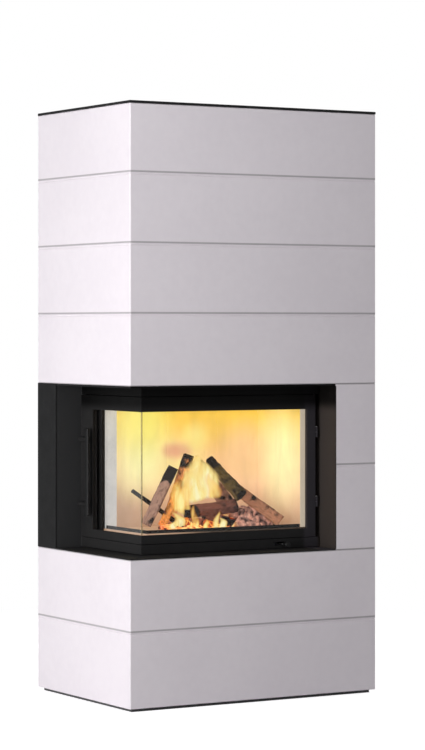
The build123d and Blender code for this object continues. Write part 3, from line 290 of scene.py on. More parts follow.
SPOT_EDGE = (0.1, 1.35)  # shares of the reach between which a spot fades out
SPOT_COVER = 0.85
GLOW_END = (FIREBOX_TOP + 0.03, FIREBOX_TOP + 0.06)
LICK_STRETCH, LICK_LEVELS = (14.0, 14.0, 4.0), (0.90, 1.06)


def build_fireglow_group():
    """Light of the fire on the linings: peach low down, yellow higher up, with its spots and streaks."""
    tree, given, result = start_group("fire_glow", [("Strength", FLOAT, 1.0)], [("Colour", COLOUR)])
    place = object_position(tree)
    height = three_parts(tree, place)["Z"]
    colour = ramp_node(tree, span_node(tree, height, HEARTH, FIREBOX_TOP, smooth=False), GLOW_BY_HEIGHT)
    for middle, reach, tone in GLOW_SPOTS:
        near, far = (share * reach for share in SPOT_EDGE)
        cover = span_node(tree, distance_node(tree, place, middle), near, far, SPOT_COVER, 0.0)
        colour = mix_colour(tree, cover, colour, tone)
    licks = noise_node(tree, stretched(tree, place, LICK_STRETCH), 1.0, 3.0, Distortion=0.6)
    streak = span_node(tree, licks, 0.3, 0.7, *LICK_LEVELS)
    inside = span_node(tree, height, *GLOW_END, 1.0, 0.0)
    mask = multiply(tree, multiply(tree, streak, inside), given["Strength"])
    link(tree, scaled_colour(tree, colour, mask), result["Colour"])
    return tree


GROUPS = {
    "mottle": build_mottle_group(),
    "surface_grain": build_grain_group(),
    "fire_glow": build_fireglow_group(),
}


def spaced(values):
    """Socket names with spaces, from names written with _."""
    return {label.replace("_", " "): value for label, value in values.items()}


def use_group(tree, name, **values):
    """Places a shared group in a material, with its own values; returns its outputs."""
    return add_node(tree, "ShaderNodeGroup", spaced(values), node_tree=GROUPS[name]).outputs


# ---- finishes ---------------------------------------------------------------------------------------------
LINING_ROUGH, LINING_GRAIN = (0.85, 0.98), (240.0, 0.0006, 18.0, 0.0008)
# light and dark tone, scale and amount of the clouds, roughness from and to,
# grain scale and height with wave scale and height, and the shader's plain values
FINISHES = {
    "cast_stone": (
        (0.828, 0.776, 0.820), (0.796, 0.744, 0.790), 2.6, 1.0, (0.78, 0.9), (520.0, 0.00016, 7.0, 0.0006),
        dict(Specular_IOR_Level=0.25)),
    "black_steel": (
        (0.0165, 0.0162, 0.0165), (0.023, 0.0222, 0.0222), 16.0, 0.7, (0.55, 0.7),
        (700.0, 0.00008, 5.0, 0.0003), dict(Specular_IOR_Level=0.05)),
    "handle_steel": (
        (0.006, 0.006, 0.0065), (0.009, 0.009, 0.009), 30.0, 0.6, (0.42, 0.55), (600.0, 0.00006, 9.0, 0.0002),
        dict(Specular_IOR_Level=0.16)),
    "bright_steel": (
        (0.56, 0.56, 0.57), (0.40, 0.38, 0.36), 40.0, 0.6, (0.3, 0.48), (500.0, 0.0001, 30.0, 0.0002),
        dict(Metallic=1.0)),
    "firebox_steel": (
        (0.010, 0.0098, 0.0096), (0.018, 0.0165, 0.015), 20.0, 0.8, (0.7, 0.9), (300.0, 0.0004, 14.0, 0.0008),
        dict(Specular_IOR_Level=0.15)),
    "zinc_sheet": (
        (0.55, 0.56, 0.57), (0.43, 0.44, 0.46), 34.0, 1.0, (0.34, 0.52), (200.0, 0.00006, 10.0, 0.0003),
        dict(Metallic=1.0)),
    "flue_steel": (
        (0.020, 0.020, 0.022), (0.032, 0.031, 0.031), 12.0, 0.8, (0.6, 0.75), (500.0, 0.0001, 8.0, 0.0004),
        {}),
    "cast_iron": (
        (0.05, 0.045, 0.042), (0.16, 0.145, 0.13), 22.0, 0.7, (0.75, 0.92), (260.0, 0.0008, 30.0, 0.001),
        {}),
    "glass_edge": (
        (0.42, 0.35, 0.17), (0.32, 0.27, 0.13), 30.0, 1.0, (0.3, 0.45), (300.0, 0.0001, 20.0, 0.0002),
        dict(Alpha=0.18, Specular_IOR_Level=0.2)),
    # the edge glows with its own colour, as painted light of the room
    "lining_edge": (
        (0.55, 0.565, 0.575), (0.47, 0.485, 0.50), 14.0, 1.0, (0.8, 0.9), (300.0, 0.0004, 18.0, 0.0006),
        dict(Specular_IOR_Level=0.1, Emission_Strength=0.44)),
    "lining_board": (
        (0.19, 0.15, 0.10), (0.15, 0.115, 0.075), 9.0, 0.9, LINING_ROUGH, LINING_GRAIN,
        dict(Specular_IOR_Level=0.1, Emission_Strength=1.0)),
    "fireclay": (
        (0.46, 0.39, 0.31), (0.32, 0.27, 0.22), 9.0, 0.9, LINING_ROUGH, LINING_GRAIN,
        dict(Specular_IOR_Level=0.1, Emission_Strength=1.0)),
}


def start_material(name, **settings):
    """A material with one Principled shader; returns it, its tree and the shader's inputs.

    Settings are those inputs by name, with _ for each space."""
    made = bpy.data.materials.new(name)
    made.use_nodes = True
    tree = made.node_tree
    shader = tree.nodes["Principled BSDF"].inputs
    for label, value in spaced(settings).items():
        feed(tree, shader[label], value)
    return made, tree, shader


def mottled_material(name):
    """A finish of cloudy colour, varied roughness and fine grain, by its row in FINISHES."""
    light, dark, scale, amount, rough, grain, plain = FINISHES[name]
    made, tree, shader = start_material(name, **plain)
    cloud = use_group(tree, "mottle", Light=light, Dark=dark, Scale=scale, Amount=amount)
    link(tree, cloud["Colour"], shader["Base Color"])
    link(tree, span_node(tree, cloud["Mask"], 0.0, 1.0, *rough, smooth=False), shader["Roughness"])
    grain_scale, grain_height, wave_scale, wave_height = grain
    relief = use_group(
        tree, "surface_grain",
        Grain_Scale=grain_scale, Grain_Height=grain_height, Wave_Scale=wave_scale, Wave_Height=wave_height,
    )
    link(tree, relief["Normal"], shader["Normal"])
    return made, tree, shader


def base_colour(shader):
    """What feeds the base colour so far."""
    return shader["Base Color"].links[0].from_socket


LINING_GLOW = 0.93
# the front end of the lining glows a fixed tone, as painted light of the room
LINING_END, LINING_END_ROOM_LIGHT = (LINING_FRONT + 0.0005, LINING_FRONT + 0.0025), (0.43, 0.37, 0.29)
HEARTH_GLOW = 0.85
# soot and painted shade on the hearth towards the right and the front: its tone, its span on x less y, and
# its strength; the same strength serves the painted shadow under the lintel
HEARTH_SOOT_AND_SHADE, SOOT_AND_SHADE_FADE, SOOT_AND_SHADE_COVER = (0.03, 0.026, 0.022), (-0.06, 0.10), 0.9


def lining_material():
    """Lining board that carries the light of the fire; its front end glows with painted light of the room."""
    made, tree, shader = mottled_material("lining_board")
    glow = use_group(tree, "fire_glow", Strength=LINING_GLOW)["Colour"]
    y = three_parts(tree, object_position(tree))["Y"]
    front_end = span_node(tree, y, *LINING_END, 1.0, 0.0)
    link(tree, mix_colour(tree, front_end, glow, LINING_END_ROOM_LIGHT), shader["Emission Color"])
    return made


def hearth_material():
    """Fireclay that carries the light of the fire, sooted and in painted shade towards the right and the
    front, where its glow is taken out.
    """
    made, tree, shader = mottled_material("fireclay")
    glow = use_group(tree, "fire_glow", Strength=HEARTH_GLOW)["Colour"]
    x, y, _ = three_parts(tree, object_position(tree))
    # soot and painted shade: the base darkens and the painted glow of the fire is taken out
    soot_and_shade = span_node(tree, subtract(tree, x, y), *SOOT_AND_SHADE_FADE, 0.0, SOOT_AND_SHADE_COVER)
    link(tree, mix_colour(tree, soot_and_shade, base_colour(shader), HEARTH_SOOT_AND_SHADE), shader["Base Color"])
    link(tree, mix_colour(tree, soot_and_shade, glow, UNLIT), shader["Emission Color"])
    return made


def edge_material():
    """The pale edge of the lining: its own colour glows as painted light of the room, and the fire lamps
    light it too.
    """
    made, tree, shader = mottled_material("lining_edge")
    link(tree, base_colour(shader), shader["Emission Color"])
    return made


# painted shade along the ring joints: its tone, the distance from a joint in metres over which it fades, and
# its strength
JOINT_SHADE_TONE, JOINT_SHADE_SPAN, JOINT_SHADE_COVER = (0.30, 0.28, 0.29), (0.0010, 0.0042), 0.75


def stone_material():
    """Fine matt off-white coat over cast stone, with painted shade along the joints."""
    made, tree, shader = mottled_material("cast_stone")
    z = three_parts(tree, object_position(tree))["Z"]
    nearest = None
    for height in JOINT_HEIGHTS:
        away = math_node(tree, "ABSOLUTE", subtract(tree, z, height))
        nearest = math_node(tree, "MINIMUM", nearest, away) if nearest else away
    joint_shade = span_node(tree, nearest, *JOINT_SHADE_SPAN, JOINT_SHADE_COVER, 0.0)
    link(tree, mix_colour(tree, joint_shade, base_colour(shader), JOINT_SHADE_TONE), shader["Base Color"])
    return made


# Spans of the black steel that differ from its plain paint, in metres on one axis, and their tones: painted
# light on the right and rear returns, painted shade on the left cover, a painted shadow under the lintel.
RIGHT_RETURN, RIGHT_RETURN_LIGHT = (0.276, 0.290), (0.039, 0.032, 0.029)
HINGE_STILE, STILE_TONE = (0.225, 0.240), (0.036, 0.033, 0.038)
LEFT_COVER, COVER_SHADE_TONE = (-0.442, -0.438), (0.0125, 0.0125, 0.0130)
REAR_RETURN, REAR_RETURN_LIGHT = (0.168, 0.176), (0.034, 0.034, 0.035)
STAND_FOOT, FOOT_TONE = (0.030, 0.032), (0.085, 0.085, 0.088)
UNDER_LINTEL, LINTEL_SHADOW_TONE = (LINTEL - 0.085, LINTEL - 0.045), (0.0006, 0.0006, 0.0006)
TOP_PLATE = (1.300, 1.310)


def black_steel_material():
    """Matt black paint: a painted shadow under the lintel, painted light on the right and rear returns,
    painted shade on the left cover, plain on the top plate.
    """
    made, tree, shader = mottled_material("black_steel")
    x, y, z = three_parts(tree, object_position(tree))
    paint = base_colour(shader)
    right = span_node(tree, x, *RIGHT_RETURN)
    colour = mix_colour(tree, right, paint, RIGHT_RETURN_LIGHT)
    stile = multiply(tree, span_node(tree, x, *HINGE_STILE), subtract(tree, 1.0, right))
    colour = mix_colour(tree, stile, colour, STILE_TONE)
    cover = span_node(tree, x, *LEFT_COVER, 1.0, 0.0)
    colour = mix_colour(tree, cover, colour, COVER_SHADE_TONE)
    rear = multiply(tree, span_node(tree, y, *REAR_RETURN), subtract(tree, 1.0, cover))
    colour = mix_colour(tree, rear, colour, REAR_RETURN_LIGHT)
    colour = mix_colour(tree, span_node(tree, z, *STAND_FOOT, 1.0, 0.0), colour, FOOT_TONE)
    # painted shadow of the lintel on the steel below it, left off the rear return and the cover
    lintel_shadow = subtract(tree, SOOT_AND_SHADE_COVER, math_node(tree, "MAXIMUM", rear, cover), clamp=True)
    colour = mix_colour(tree, multiply(tree, span_node(tree, z, *UNDER_LINTEL), lintel_shadow), colour, LINTEL_SHADOW_TONE)
    link(tree, mix_colour(tree, span_node(tree, z, *TOP_PLATE), colour, paint), shader["Base Color"])
    return made


GLASS_HAZE = [(0.35, (0.99, 0.99, 0.985)), (0.7, (0.955, 0.95, 0.935))]
GLASS_PASSING = (0.96, 0.96, 0.95)
ROPE_STRANDS, STRAND_DEPTH = [(0.2, (0.02, 0.02, 0.022)), (0.9, (0.10, 0.10, 0.11))], 0.0008


def glass_material():
    """Clear ceramic glass; light from the fire and the room passes it unhindered."""
    made, tree, shader = start_material("ceramic_glass", Roughness=0.03, IOR=1.2, Transmission_Weight=1.0)
    haze = noise_node(tree, object_position(tree), 14.0, 4.0)
    link(tree, ramp_node(tree, haze, GLASS_HAZE), shader["Base Color"])
    clear = add_node(tree, "ShaderNodeBsdfTransparent", {0: GLASS_PASSING})
    passing = rays_node(tree, "Is Shadow Ray", "Is Diffuse Ray")
    glass = tree.nodes["Principled BSDF"]
    blend_shaders(tree, passing, glass.outputs[0], clear.outputs[0], tree.nodes["Material Output"])
    return made


def rope_material():
    """Braided black glass fibre."""
    made, tree, shader = start_material("seal_rope", Specular_IOR_Level=0.2, Roughness=0.9)
    braid = add_node(
        tree, "ShaderNodeTexWave", {"Vector": object_position(tree), "Scale": 140.0, "Distortion": 1.5},
        wave_type="BANDS", bands_direction="DIAGONAL",
    ).outputs
    link(tree, ramp_node(tree, braid[0], ROPE_STRANDS), shader["Base Color"])
    link(tree, bump_node(tree, braid[1], STRAND_DEPTH), shader["Normal"])
    return made


# Patterns of the wood: how each is stretched on the log and its scale, and its shades.
FIBRES, FIBRE_SHADES = ((6.0, 6.0, 0.7), 2.4), [(0.3, 0.30), (0.5, 0.78), (0.7, 1.05)]
CRACKS, BARK_SHADES = ((1.6, 1.6, 0.6), 2.6), [(0.0, 0.22), (0.12, 0.62), (0.5, 1.0)]
RING_CLOSENESS, RING_SHADES = 34.0, [(0.0, 0.55), (1.0, 1.0)]
SCORCH_SCALE, SCORCH_STRENGTH = 30.0, 1.3
CHARCOAL, CHAR_EDGE = (0.010, 0.008, 0.008), (0.38, 0.62)
CHECK_SCALE, CHECK_LEVELS, EMBER_EDGE = 95.0, (0.0, 0.2, 1.0, 0.25), (0.35, 0.8)
WOOD_RELIEF, FIBRE_SHARE = 0.004, 0.4
LOG_FIRELIGHT = (1.0, 0.90, 0.80)
LIVE_CRACKS = [
    (0.0, UNLIT), (0.25, (0.55, 0.06, 0.008)), (0.6, (1.0, 0.30, 0.035)), (1.0, (1.0, 0.66, 0.14)),
]


def wood_material():
    """Burning split logs: bark outside, fibrous split faces, ringed ends, char and live embers.

    Each log carries its own colour (log_tint), the painted light of the flames on it and its embers
    (log_firelight_and_embers)."""
    made, tree, shader = start_material(
        "firewood", Specular_IOR_Level=0.1, Roughness=0.85, Emission_Strength=1.0
    )
    local, tint = attribute_node(tree, "log_space"), attribute_node(tree, "log_tint")
    bark_mark, end_mark, char_mark = three_parts(tree, attribute_node(tree, "log_marks"))
    flame_light, embers, _ = three_parts(tree, attribute_node(tree, "log_firelight_and_embers"))
    place = object_position(tree)
    # wood by where it is on the log: split face, bark and ringed end
    fibre = noise_node(tree, stretched(tree, local, FIBRES[0]), FIBRES[1], 6.0)
    split = grey_ramp(tree, fibre, FIBRE_SHADES)
    crack = seam_node(tree, stretched(tree, local, CRACKS[0]), CRACKS[1])
    bark = grey_ramp(tree, crack, BARK_SHADES)
    level = vector_math(tree, "MULTIPLY", {0: local, 1: (1.0, 1.0, 0.0)})[0]
    rings = math_node(tree, "SINE", multiply(tree, length_node(tree, level), RING_CLOSENESS))
    ends = grey_ramp(tree, span_node(tree, rings, -1.0, 1.0), RING_SHADES)
    shade = mix_colour(tree, bark_mark, split, bark)
    shade = mix_colour(tree, end_mark, shade, ends)
    colour = mix_colour(tree, 1.0, tint, shade, blend="MULTIPLY")
    # char in patches
    scorch = noise_node(tree, place, SCORCH_SCALE, 5.0)
    patchy = multiply(tree, subtract(tree, scorch, 0.5), SCORCH_STRENGTH)
    char = span_node(tree, math_node(tree, "ADD", char_mark, patchy), *CHAR_EDGE)
    colour = mix_colour(tree, char, colour, CHARCOAL)
    link(tree, colour, shader["Base Color"])
    # embers in the cracks of the char, over the painted light of the flames
    seams = span_node(tree, seam_node(tree, place, CHECK_SCALE), *CHECK_LEVELS)
    live = span_node(tree, math_node(tree, "ADD", embers, patchy), *EMBER_EDGE)
    glow = ramp_node(tree, multiply(tree, live, seams), LIVE_CRACKS)
    # painted light of the flames on the log: its own colour, warmed, as a glow
    lit = scaled_colour(tree, mix_colour(tree, 1.0, colour, LOG_FIRELIGHT, blend="MULTIPLY"), flame_light)
    link(tree, mix_colour(tree, 1.0, lit, glow, blend="ADD"), shader["Emission Color"])
    fibres = multiply(tree, fibre, FIBRE_SHARE)
    relief = math_node(tree, "ADD", fibres, multiply(tree, crack, bark_mark))
    link(tree, bump_node(tree, relief, WOOD_RELIEF, 0.8), shader["Normal"])
    return made


EMBER_HEART, EMBER_REACH = (-0.050, -0.095, HEARTH), (0.09, 0.21)
EMBER_GRAIN, EMBER_PATCHES = 60.0, (0.34, 0.58)
ASHEN_SPAN = (0.005, 0.055)  # on x: the heap to the right of it has burnt down to ash
EMBER_ASH = [(0.35, (0.02, 0.016, 0.014)), (0.7, (0.34, 0.31, 0.28))]
EMBER_GLOW = [(0.0, UNLIT), (0.3, (0.75, 0.10, 0.01)), (0.65, (1.0, 0.34, 0.04)), (1.0, (1.0, 0.66, 0.2))]
ASHEN_GLOW = [(0.38, (0.035, 0.015, 0.013)), (0.52, (0.22, 0.085, 0.062)), (0.66, (0.50, 0.22, 0.15))]


def ember_material():
    """Live coals under grey ash, paler and pinker in the heap at the right."""
    made, tree, shader = start_material(
        "embers", Specular_IOR_Level=0.1, Roughness=0.95, Emission_Strength=1.1
    )
    place = object_position(tree)
    ash = noise_node(tree, place, EMBER_GRAIN, 5.0)
    link(tree, ramp_node(tree, ash, EMBER_ASH), shader["Base Color"])
    reach = span_node(tree, distance_node(tree, place, EMBER_HEART), *EMBER_REACH, 1.0, 0.0)
    glow = ramp_node(tree, multiply(tree, reach, span_node(tree, ash, *EMBER_PATCHES)), EMBER_GLOW)
    ashen = span_node(tree, three_parts(tree, place)["X"], *ASHEN_SPAN)
    link(tree, mix_colour(tree, ashen, glow, ramp_node(tree, ash, ASHEN_GLOW)), shader["Emission Color"])
    return made


ORANGE_FLAME = [
    (0.0, (1.0, 0.22, 0.02)), (0.35, (1.0, 0.40, 0.06)), (0.7, (1.0, 0.62, 0.14)), (1.0, (1.0, 0.86, 0.30)),
]
PALE_FLAME = [
    (0.0, (0.98, 0.58, 0.14)), (0.35, (0.98, 0.70, 0.22)), (0.7, (0.97, 0.82, 0.32)),
    (1.0, (0.98, 0.93, 0.55)),
]
FLAME_STREAKS, STREAK_LEVELS = (42.0, 42.0, 11.0), (0.28, 0.66, 0.45, 1.2)
FLAME_FOOT, FLAME_EDGE = (0.0, 0.14), (0.06, 0.95)


def flame_material():
    """A tongue of flame, pale at its heart and warmer at its rim, clear beyond.

    UV runs across and up the tongue; flame_kind holds how pale and how dense the tongue is."""
    made, tree, shader = start_material(
        "flame", Base_Color=UNLIT, Roughness=1.0, Specular_IOR_Level=0.0, Emission_Strength=1.0
    )
    across, up, _ = three_parts(tree, add_node(tree, "ShaderNodeUVMap", uv_map="tongue").outputs[0])
    paleness, density, _ = three_parts(tree, attribute_node(tree, "flame_kind"))
    place = stretched(tree, object_position(tree), FLAME_STREAKS)
    wisp = span_node(tree, noise_node(tree, place, 1.0, 4.0, Distortion=0.8), *STREAK_LEVELS)
    side = multiply(tree, multiply(tree, across, subtract(tree, 1.0, across)), 4.0)
    rise = subtract(tree, 1.0, math_node(tree, "POWER", up, 3.0))
    foot = span_node(tree, up, *FLAME_FOOT)
    body = multiply(tree, multiply(tree, side, rise), wisp)
    orange, pale = ramp_node(tree, body, ORANGE_FLAME), ramp_node(tree, body, PALE_FLAME)
    link(tree, mix_colour(tree, paleness, orange, pale), shader["Emission Color"])
    alpha = multiply(tree, span_node(tree, body, *FLAME_EDGE), foot, clamp=True)
    link(tree, multiply(tree, alpha, density), shader["Alpha"])
    return made


MATERIALS = {
    "cast_stone": stone_material(),
    "black_steel": black_steel_material(),
    "ceramic_glass": glass_material(),
    "seal_rope": rope_material(),
    "lining_board": lining_material(),
    "lining_edge": edge_material(),
    "fireclay": hearth_material(),
    "firewood": wood_material(),
    "embers": ember_material(),
    "flame": flame_material(),
}
for plain_finish in FINISHES:
    if plain_finish not in MATERIALS:
        MATERIALS[plain_finish] = mottled_material(plain_finish)[0]


def dress_cad_nodes():
    """Every CAD node that stays in view takes the finish of its slot."""
    for name, piece in NODES.items():
        piece.data.materials.clear()
        piece.data.materials.append(MATERIALS[SLOT_OF[name]])


# ---- mesh pieces ------------------------------------------------------------------------------------------
def add_object(name, data):
    """An object of a mesh, lamp or camera, linked to the scene."""
    made = bpy.data.objects.new(name, data)
    bpy.context.scene.collection.objects.link(made)
    return made


def mesh_piece(name, points, faces, material):
    """A smooth mesh object at the origin, in the stove's frame."""
    mesh = bpy.data.meshes.new(name)
    mesh.from_pydata([tuple(point) for point in points], [], faces)
    mesh.materials.append(MATERIALS[material])
    mesh.polygons.foreach_set("use_smooth", [True] * len(mesh.polygons))
    mesh.update()
    return add_object(name, mesh)


def store_vectors(piece, name, values):
    """Keeps one vector for each point of the mesh as a named attribute."""
    layer = piece.data.attributes.new(name, "FLOAT_VECTOR", "POINT")
    layer.data.foreach_set("vector", [number for value in values for number in value])


def tube_faces(first, rows, sides, flip=False):
    """Quads between neighbouring closed rings of points; flip where the rings run the other way round."""
    faces = []
    for row in range(rows):
        low = first + row * sides
        for side in range(sides):
            after = (side + 1) % sides
            quad = (low + side, low + after, low + sides + after, low + sides + side)
            faces.append((quad[0], quad[3], quad[2], quad[1]) if flip else quad)
    return faces


# foot and top in metres, radius, top-to-foot ratio, directions of the split faces in degrees, seed,
# colour, painted light of the flames on it, char at foot and top, embers at the foot
LOGS = [
    ((-0.132, -0.106, 0.5428), (-0.122, -0.036, 0.5428), 0.0220, 0.95, (70.0,), 3,
     (0.46, 0.19, 0.10), 0.55, (1.0, 0.3), 0.55),
    ((-0.070, -0.134, 0.5432), (-0.052, 0.006, 0.5432), 0.0200, 0.95, (20.0, 200.0), 7,
     (0.40, 0.14, 0.09), 0.50, (1.0, 0.3), 0.60),
    ((0.006, -0.132, 0.5487), (0.016, 0.008, 0.5487), 0.0290, 0.95, (10.0, 130.0), 11,
     (0.26, 0.11, 0.09), 0.40, (0.75, 0.3), 0.35),
    ((0.040, -0.122, 0.5979), (-0.118, -0.064, 0.5774), 0.0230, 0.95, (150.0,), 13,
     (0.15, 0.062, 0.050), 0.42, (0.6, 0.5), 0.30),
    ((-0.202, 0.027, 0.5333), (-0.1226, -0.0112, 0.7141), 0.0225, 0.95, (30.0, 150.0), 17,
     (0.31, 0.19, 0.15), 0.60, (0.1, 0.5), 0.0),
    ((-0.158, 0.004, 0.5301), (-0.0997, -0.0276, 0.672), 0.0155, 0.90, (45.0, 165.0, 285.0), 19,
     (0.62, 0.25, 0.06), 0.70, (0.4, 0.35), 0.45),
    ((-0.1075, 0.059, 0.5322), (-0.083, -0.033, 0.752), 0.0215, 0.90, (110.0, 230.0), 23,
     (0.58, 0.24, 0.10), 0.80, (0.0, 0.18), 0.0),
    ((0.129, 0.008, 0.5411), (-0.0578, -0.037, 0.728), 0.0260, 0.94, (40.0, 200.0), 29,
     (0.30, 0.155, 0.11), 0.66, (0.45, 0.1), 0.0),
    ((0.057, -0.112, 0.6254), (0.0093, -0.0004, 0.7362), 0.0265, 0.60, (350.0,), 31,
     (0.135, 0.10, 0.042), 0.52, (0.3, 0.55), 0.0),
    ((0.205, -0.118, 0.5408), (0.0556, -0.0267, 0.672), 0.0220, 0.92, (60.0, 180.0, 300.0), 37,
     (0.42, 0.20, 0.12), 0.66, (0.42, 0.1), 0.0),
]
TWIG = (
    (-0.0831, 0.0244, 0.5295), (-0.2393, 0.0499, 0.643), 0.0085, 0.75, (), 41,
    (0.05, 0.035, 0.02), 0.3, (0.2, 0.8), 0.0,
)
LOG_FULLNESS = 0.94  # share of the solid log's radius
LOG_SIDES, LOG_STEPS = 36, 44
# shares of a log's radius
SPLIT_DEPTH, SPLIT_STEP, SPLIT_WAVE = 0.52, 0.10, 0.05
BARK_DEPTH, FIBRE_DEPTH, SPLIT_ROUGHNESS = 0.10, 0.035, 0.02
LOG_BOW, END_DENT, END_RINGS = 0.05, 0.02, (0.72, 0.4)
# noise on a log's side: its steps round the log and along it, its finer layers, and its shift for each seed
ROUGH_ROUND, ROUGH_ALONG, ROUGH_SCALE = 2.2, 6.0, 1.6
ROUGH_LAYERS = (0.8, 2.1, 4)  # how fast they weaken, step in scale from one to the next, number
FIBRES_ROUND, FIBRES_ALONG = 9.0, 2.5
SEED_SHIFT = (3.1, 1.7, 0.9)
BOW_HALF_TURNS, WAVE_CLOSENESS, DENT_SCALE = 1.4, 5.0, 90.0
# shares of a log's length: how far up the foot is charred and glows, and where the top begins to char
FOOT_CHAR, TOP_CHAR, TOP_CHAR_SPAN, EMBER_LENGTH = 0.30, 0.66, 0.08, 0.45
END_CHAR, PATCHY_CHAR = 0.62, 0.35


class LogPoints:
    """The points of one log, each with its place in the log and its marks (bark, end, char)."""

    def __init__(self, foot, top, radius, char):
        self.foot, self.radius, self.char = Vector(foot), radius, char
        line = Vector(top) - self.foot
        self.length, self.along = line.length, line.normalized()
        self.first = self.along.cross(Vector((0.0, 1.0, 0.0))).normalized()
        self.second = self.along.cross(self.first)
        self.points, self.places, self.marks = [], [], []

    def add(self, x, y, z, bark, end):
        """One point, from its place across and along the log in metres."""
        share, radius = z / self.length, self.radius
        foot_char = self.char[0] * (1.0 - share / FOOT_CHAR)
        top_char = self.char[1] * (share - TOP_CHAR) / TOP_CHAR_SPAN
        burnt = max(foot_char, top_char, PATCHY_CHAR, END_CHAR if end else 0.0)
        self.points.append(self.foot + self.first * x + self.second * y + self.along * z)
        self.places.append((x / radius, y / radius, z / radius))
        self.marks.append((bark, end, min(1.0, burnt)))

    def add_side(self, taper, splits, seed):
        """The rings of the log's side: round bark, cut by flat and fibrous split faces."""
        shift = Vector([seed * step for step in SEED_SHIFT])
        radius = self.radius
        for step in range(LOG_STEPS + 1):
            share = step / LOG_STEPS
            bow = LOG_BOW * radius * math.sin(share * math.pi * BOW_HALF_TURNS + seed)
            for side in range(LOG_SIDES):
                angle = 2.0 * math.pi * side / LOG_SIDES
                reach, bark = radius * (1.0 - (1.0 - taper) * share), 1.0
                for face, split in enumerate(splits):
                    facing = math.cos(angle - math.radians(split))
                    wave = SPLIT_WAVE * math.sin(share * WAVE_CLOSENESS + seed + face)
                    depth = radius * (SPLIT_DEPTH + SPLIT_STEP * face + wave)
                    if facing > 0.0 and depth / facing < reach:
                        reach, bark = depth / facing, 0.0
                across, back = math.cos(angle), math.sin(angle)
                sample = Vector((across * ROUGH_ROUND, back * ROUGH_ROUND, share * ROUGH_ALONG)) + shift
                rough = noise.fractal(sample * ROUGH_SCALE, *ROUGH_LAYERS)
                sample = Vector((across * FIBRES_ROUND, back * FIBRES_ROUND, share * FIBRES_ALONG)) + shift
                fibres = noise.noise(sample)
                relief = BARK_DEPTH * rough if bark else FIBRE_DEPTH * fibres + SPLIT_ROUGHNESS * rough
                reach += radius * relief
                self.add(reach * across + bow, reach * back, self.length * share, bark, 0.0)

    def end_faces(self, start, is_top):
        """Closes one end with smaller rings and a hub, slightly dented; start is its first rim point."""
        faces = []
        outward = 1.0 if is_top else -1.0
        rim = list(range(start, start + LOG_SIDES))
        previous = rim
        for inset in END_RINGS:
            ring = []
            for index in rim:
                x, y, z = (value * self.radius for value in self.places[index])
                dent = END_DENT * self.radius * outward * noise.noise(Vector((x, y, z)) * DENT_SCALE)
                ring.append(len(self.points))
                self.add(x * inset, y * inset, z + dent, 0.0, 1.0)
            for side in range(LOG_SIDES):
                after = (side + 1) % LOG_SIDES
                faces.append((previous[side], ring[side], ring[after], previous[after]))
            previous = ring
        hub = len(self.points)
        self.add(0.0, 0.0, self.places[start][2] * self.radius, 0.0, 1.0)
        for side in range(LOG_SIDES):
            faces.append((previous[side], hub, previous[(side + 1) % LOG_SIDES]))
        return [tuple(reversed(face)) for face in faces] if is_top else faces


def build_log(name, foot, top, radius, taper, splits, seed, colour, flame_light, char, embers):
    """One split log with closed ends, its colour, the painted light of the flames on it and its embers."""
    log = LogPoints(foot, top, radius * LOG_FULLNESS, char)
    log.add_side(taper, splits, seed)
    last_ring = LOG_STEPS * LOG_SIDES
    faces = tube_faces(0, LOG_STEPS, LOG_SIDES) + log.end_faces(0, False) + log.end_faces(last_ring, True)
    piece = mesh_piece(name, log.points, faces, "firewood")
    length = log.places[last_ring][2]
    store_vectors(piece, "log_space", log.places)
    store_vectors(piece, "log_marks", log.marks)
    store_vectors(piece, "log_tint", [colour] * len(log.points))
    store_vectors(piece, "log_firelight_and_embers", [
        (flame_light, embers * max(0.0, 1.0 - place[2] / length / EMBER_LENGTH), 0.0) for place in log.places
    ])
    return piece


def build_firewood():
    """All logs and the twig, riding with the load; they stand for the plain CAD logs."""
    for index, log in enumerate(LOGS):
        piece = build_log(f"log_{index + 1}", *log)
        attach(piece, "wood_load")
        if index == 0:
            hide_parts("firewood")
    twig = build_log("twig", *TWIG)
    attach(twig, "wood_load")
    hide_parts("kindling")


# ---- coals ------------------------------------------------------------------------------------------------
# name, middle of the heap, reach across and back, height, coals a square metre, smallest, largest, seed
COAL_HEAPS = [
    ("ember_bed", (-0.045, -0.066), (0.150, 0.078), 0.009, 9500.0, 0.003, 0.009, 4),
    ("ember_heap", (0.098, -0.058), (0.098, 0.060), 0.056, 5200.0, 0.006, 0.015, 9),
]
# the scatter's inputs and what they are before a heap sets them
COAL_INPUTS = {
    "Density": (FLOAT, 9000.0), "Smallest": (FLOAT, 0.003), "Largest": (FLOAT, 0.009),
    "Seed": ("NodeSocketInt", 4),
}
HEAP_LAYERS, HEAP_RINGS, HEAP_SIDES = 3, 8, 40
HEAP_LIFT = 0.004
# waves of a heap's rim: share of its reach and number round it
LOBE_SIZE, LOBES, RIPPLE_SIZE, RIPPLES = 0.12, 3.0, 0.06, 7.0
COAL_FLATNESS = 0.7
FULL_TURN = 6.28


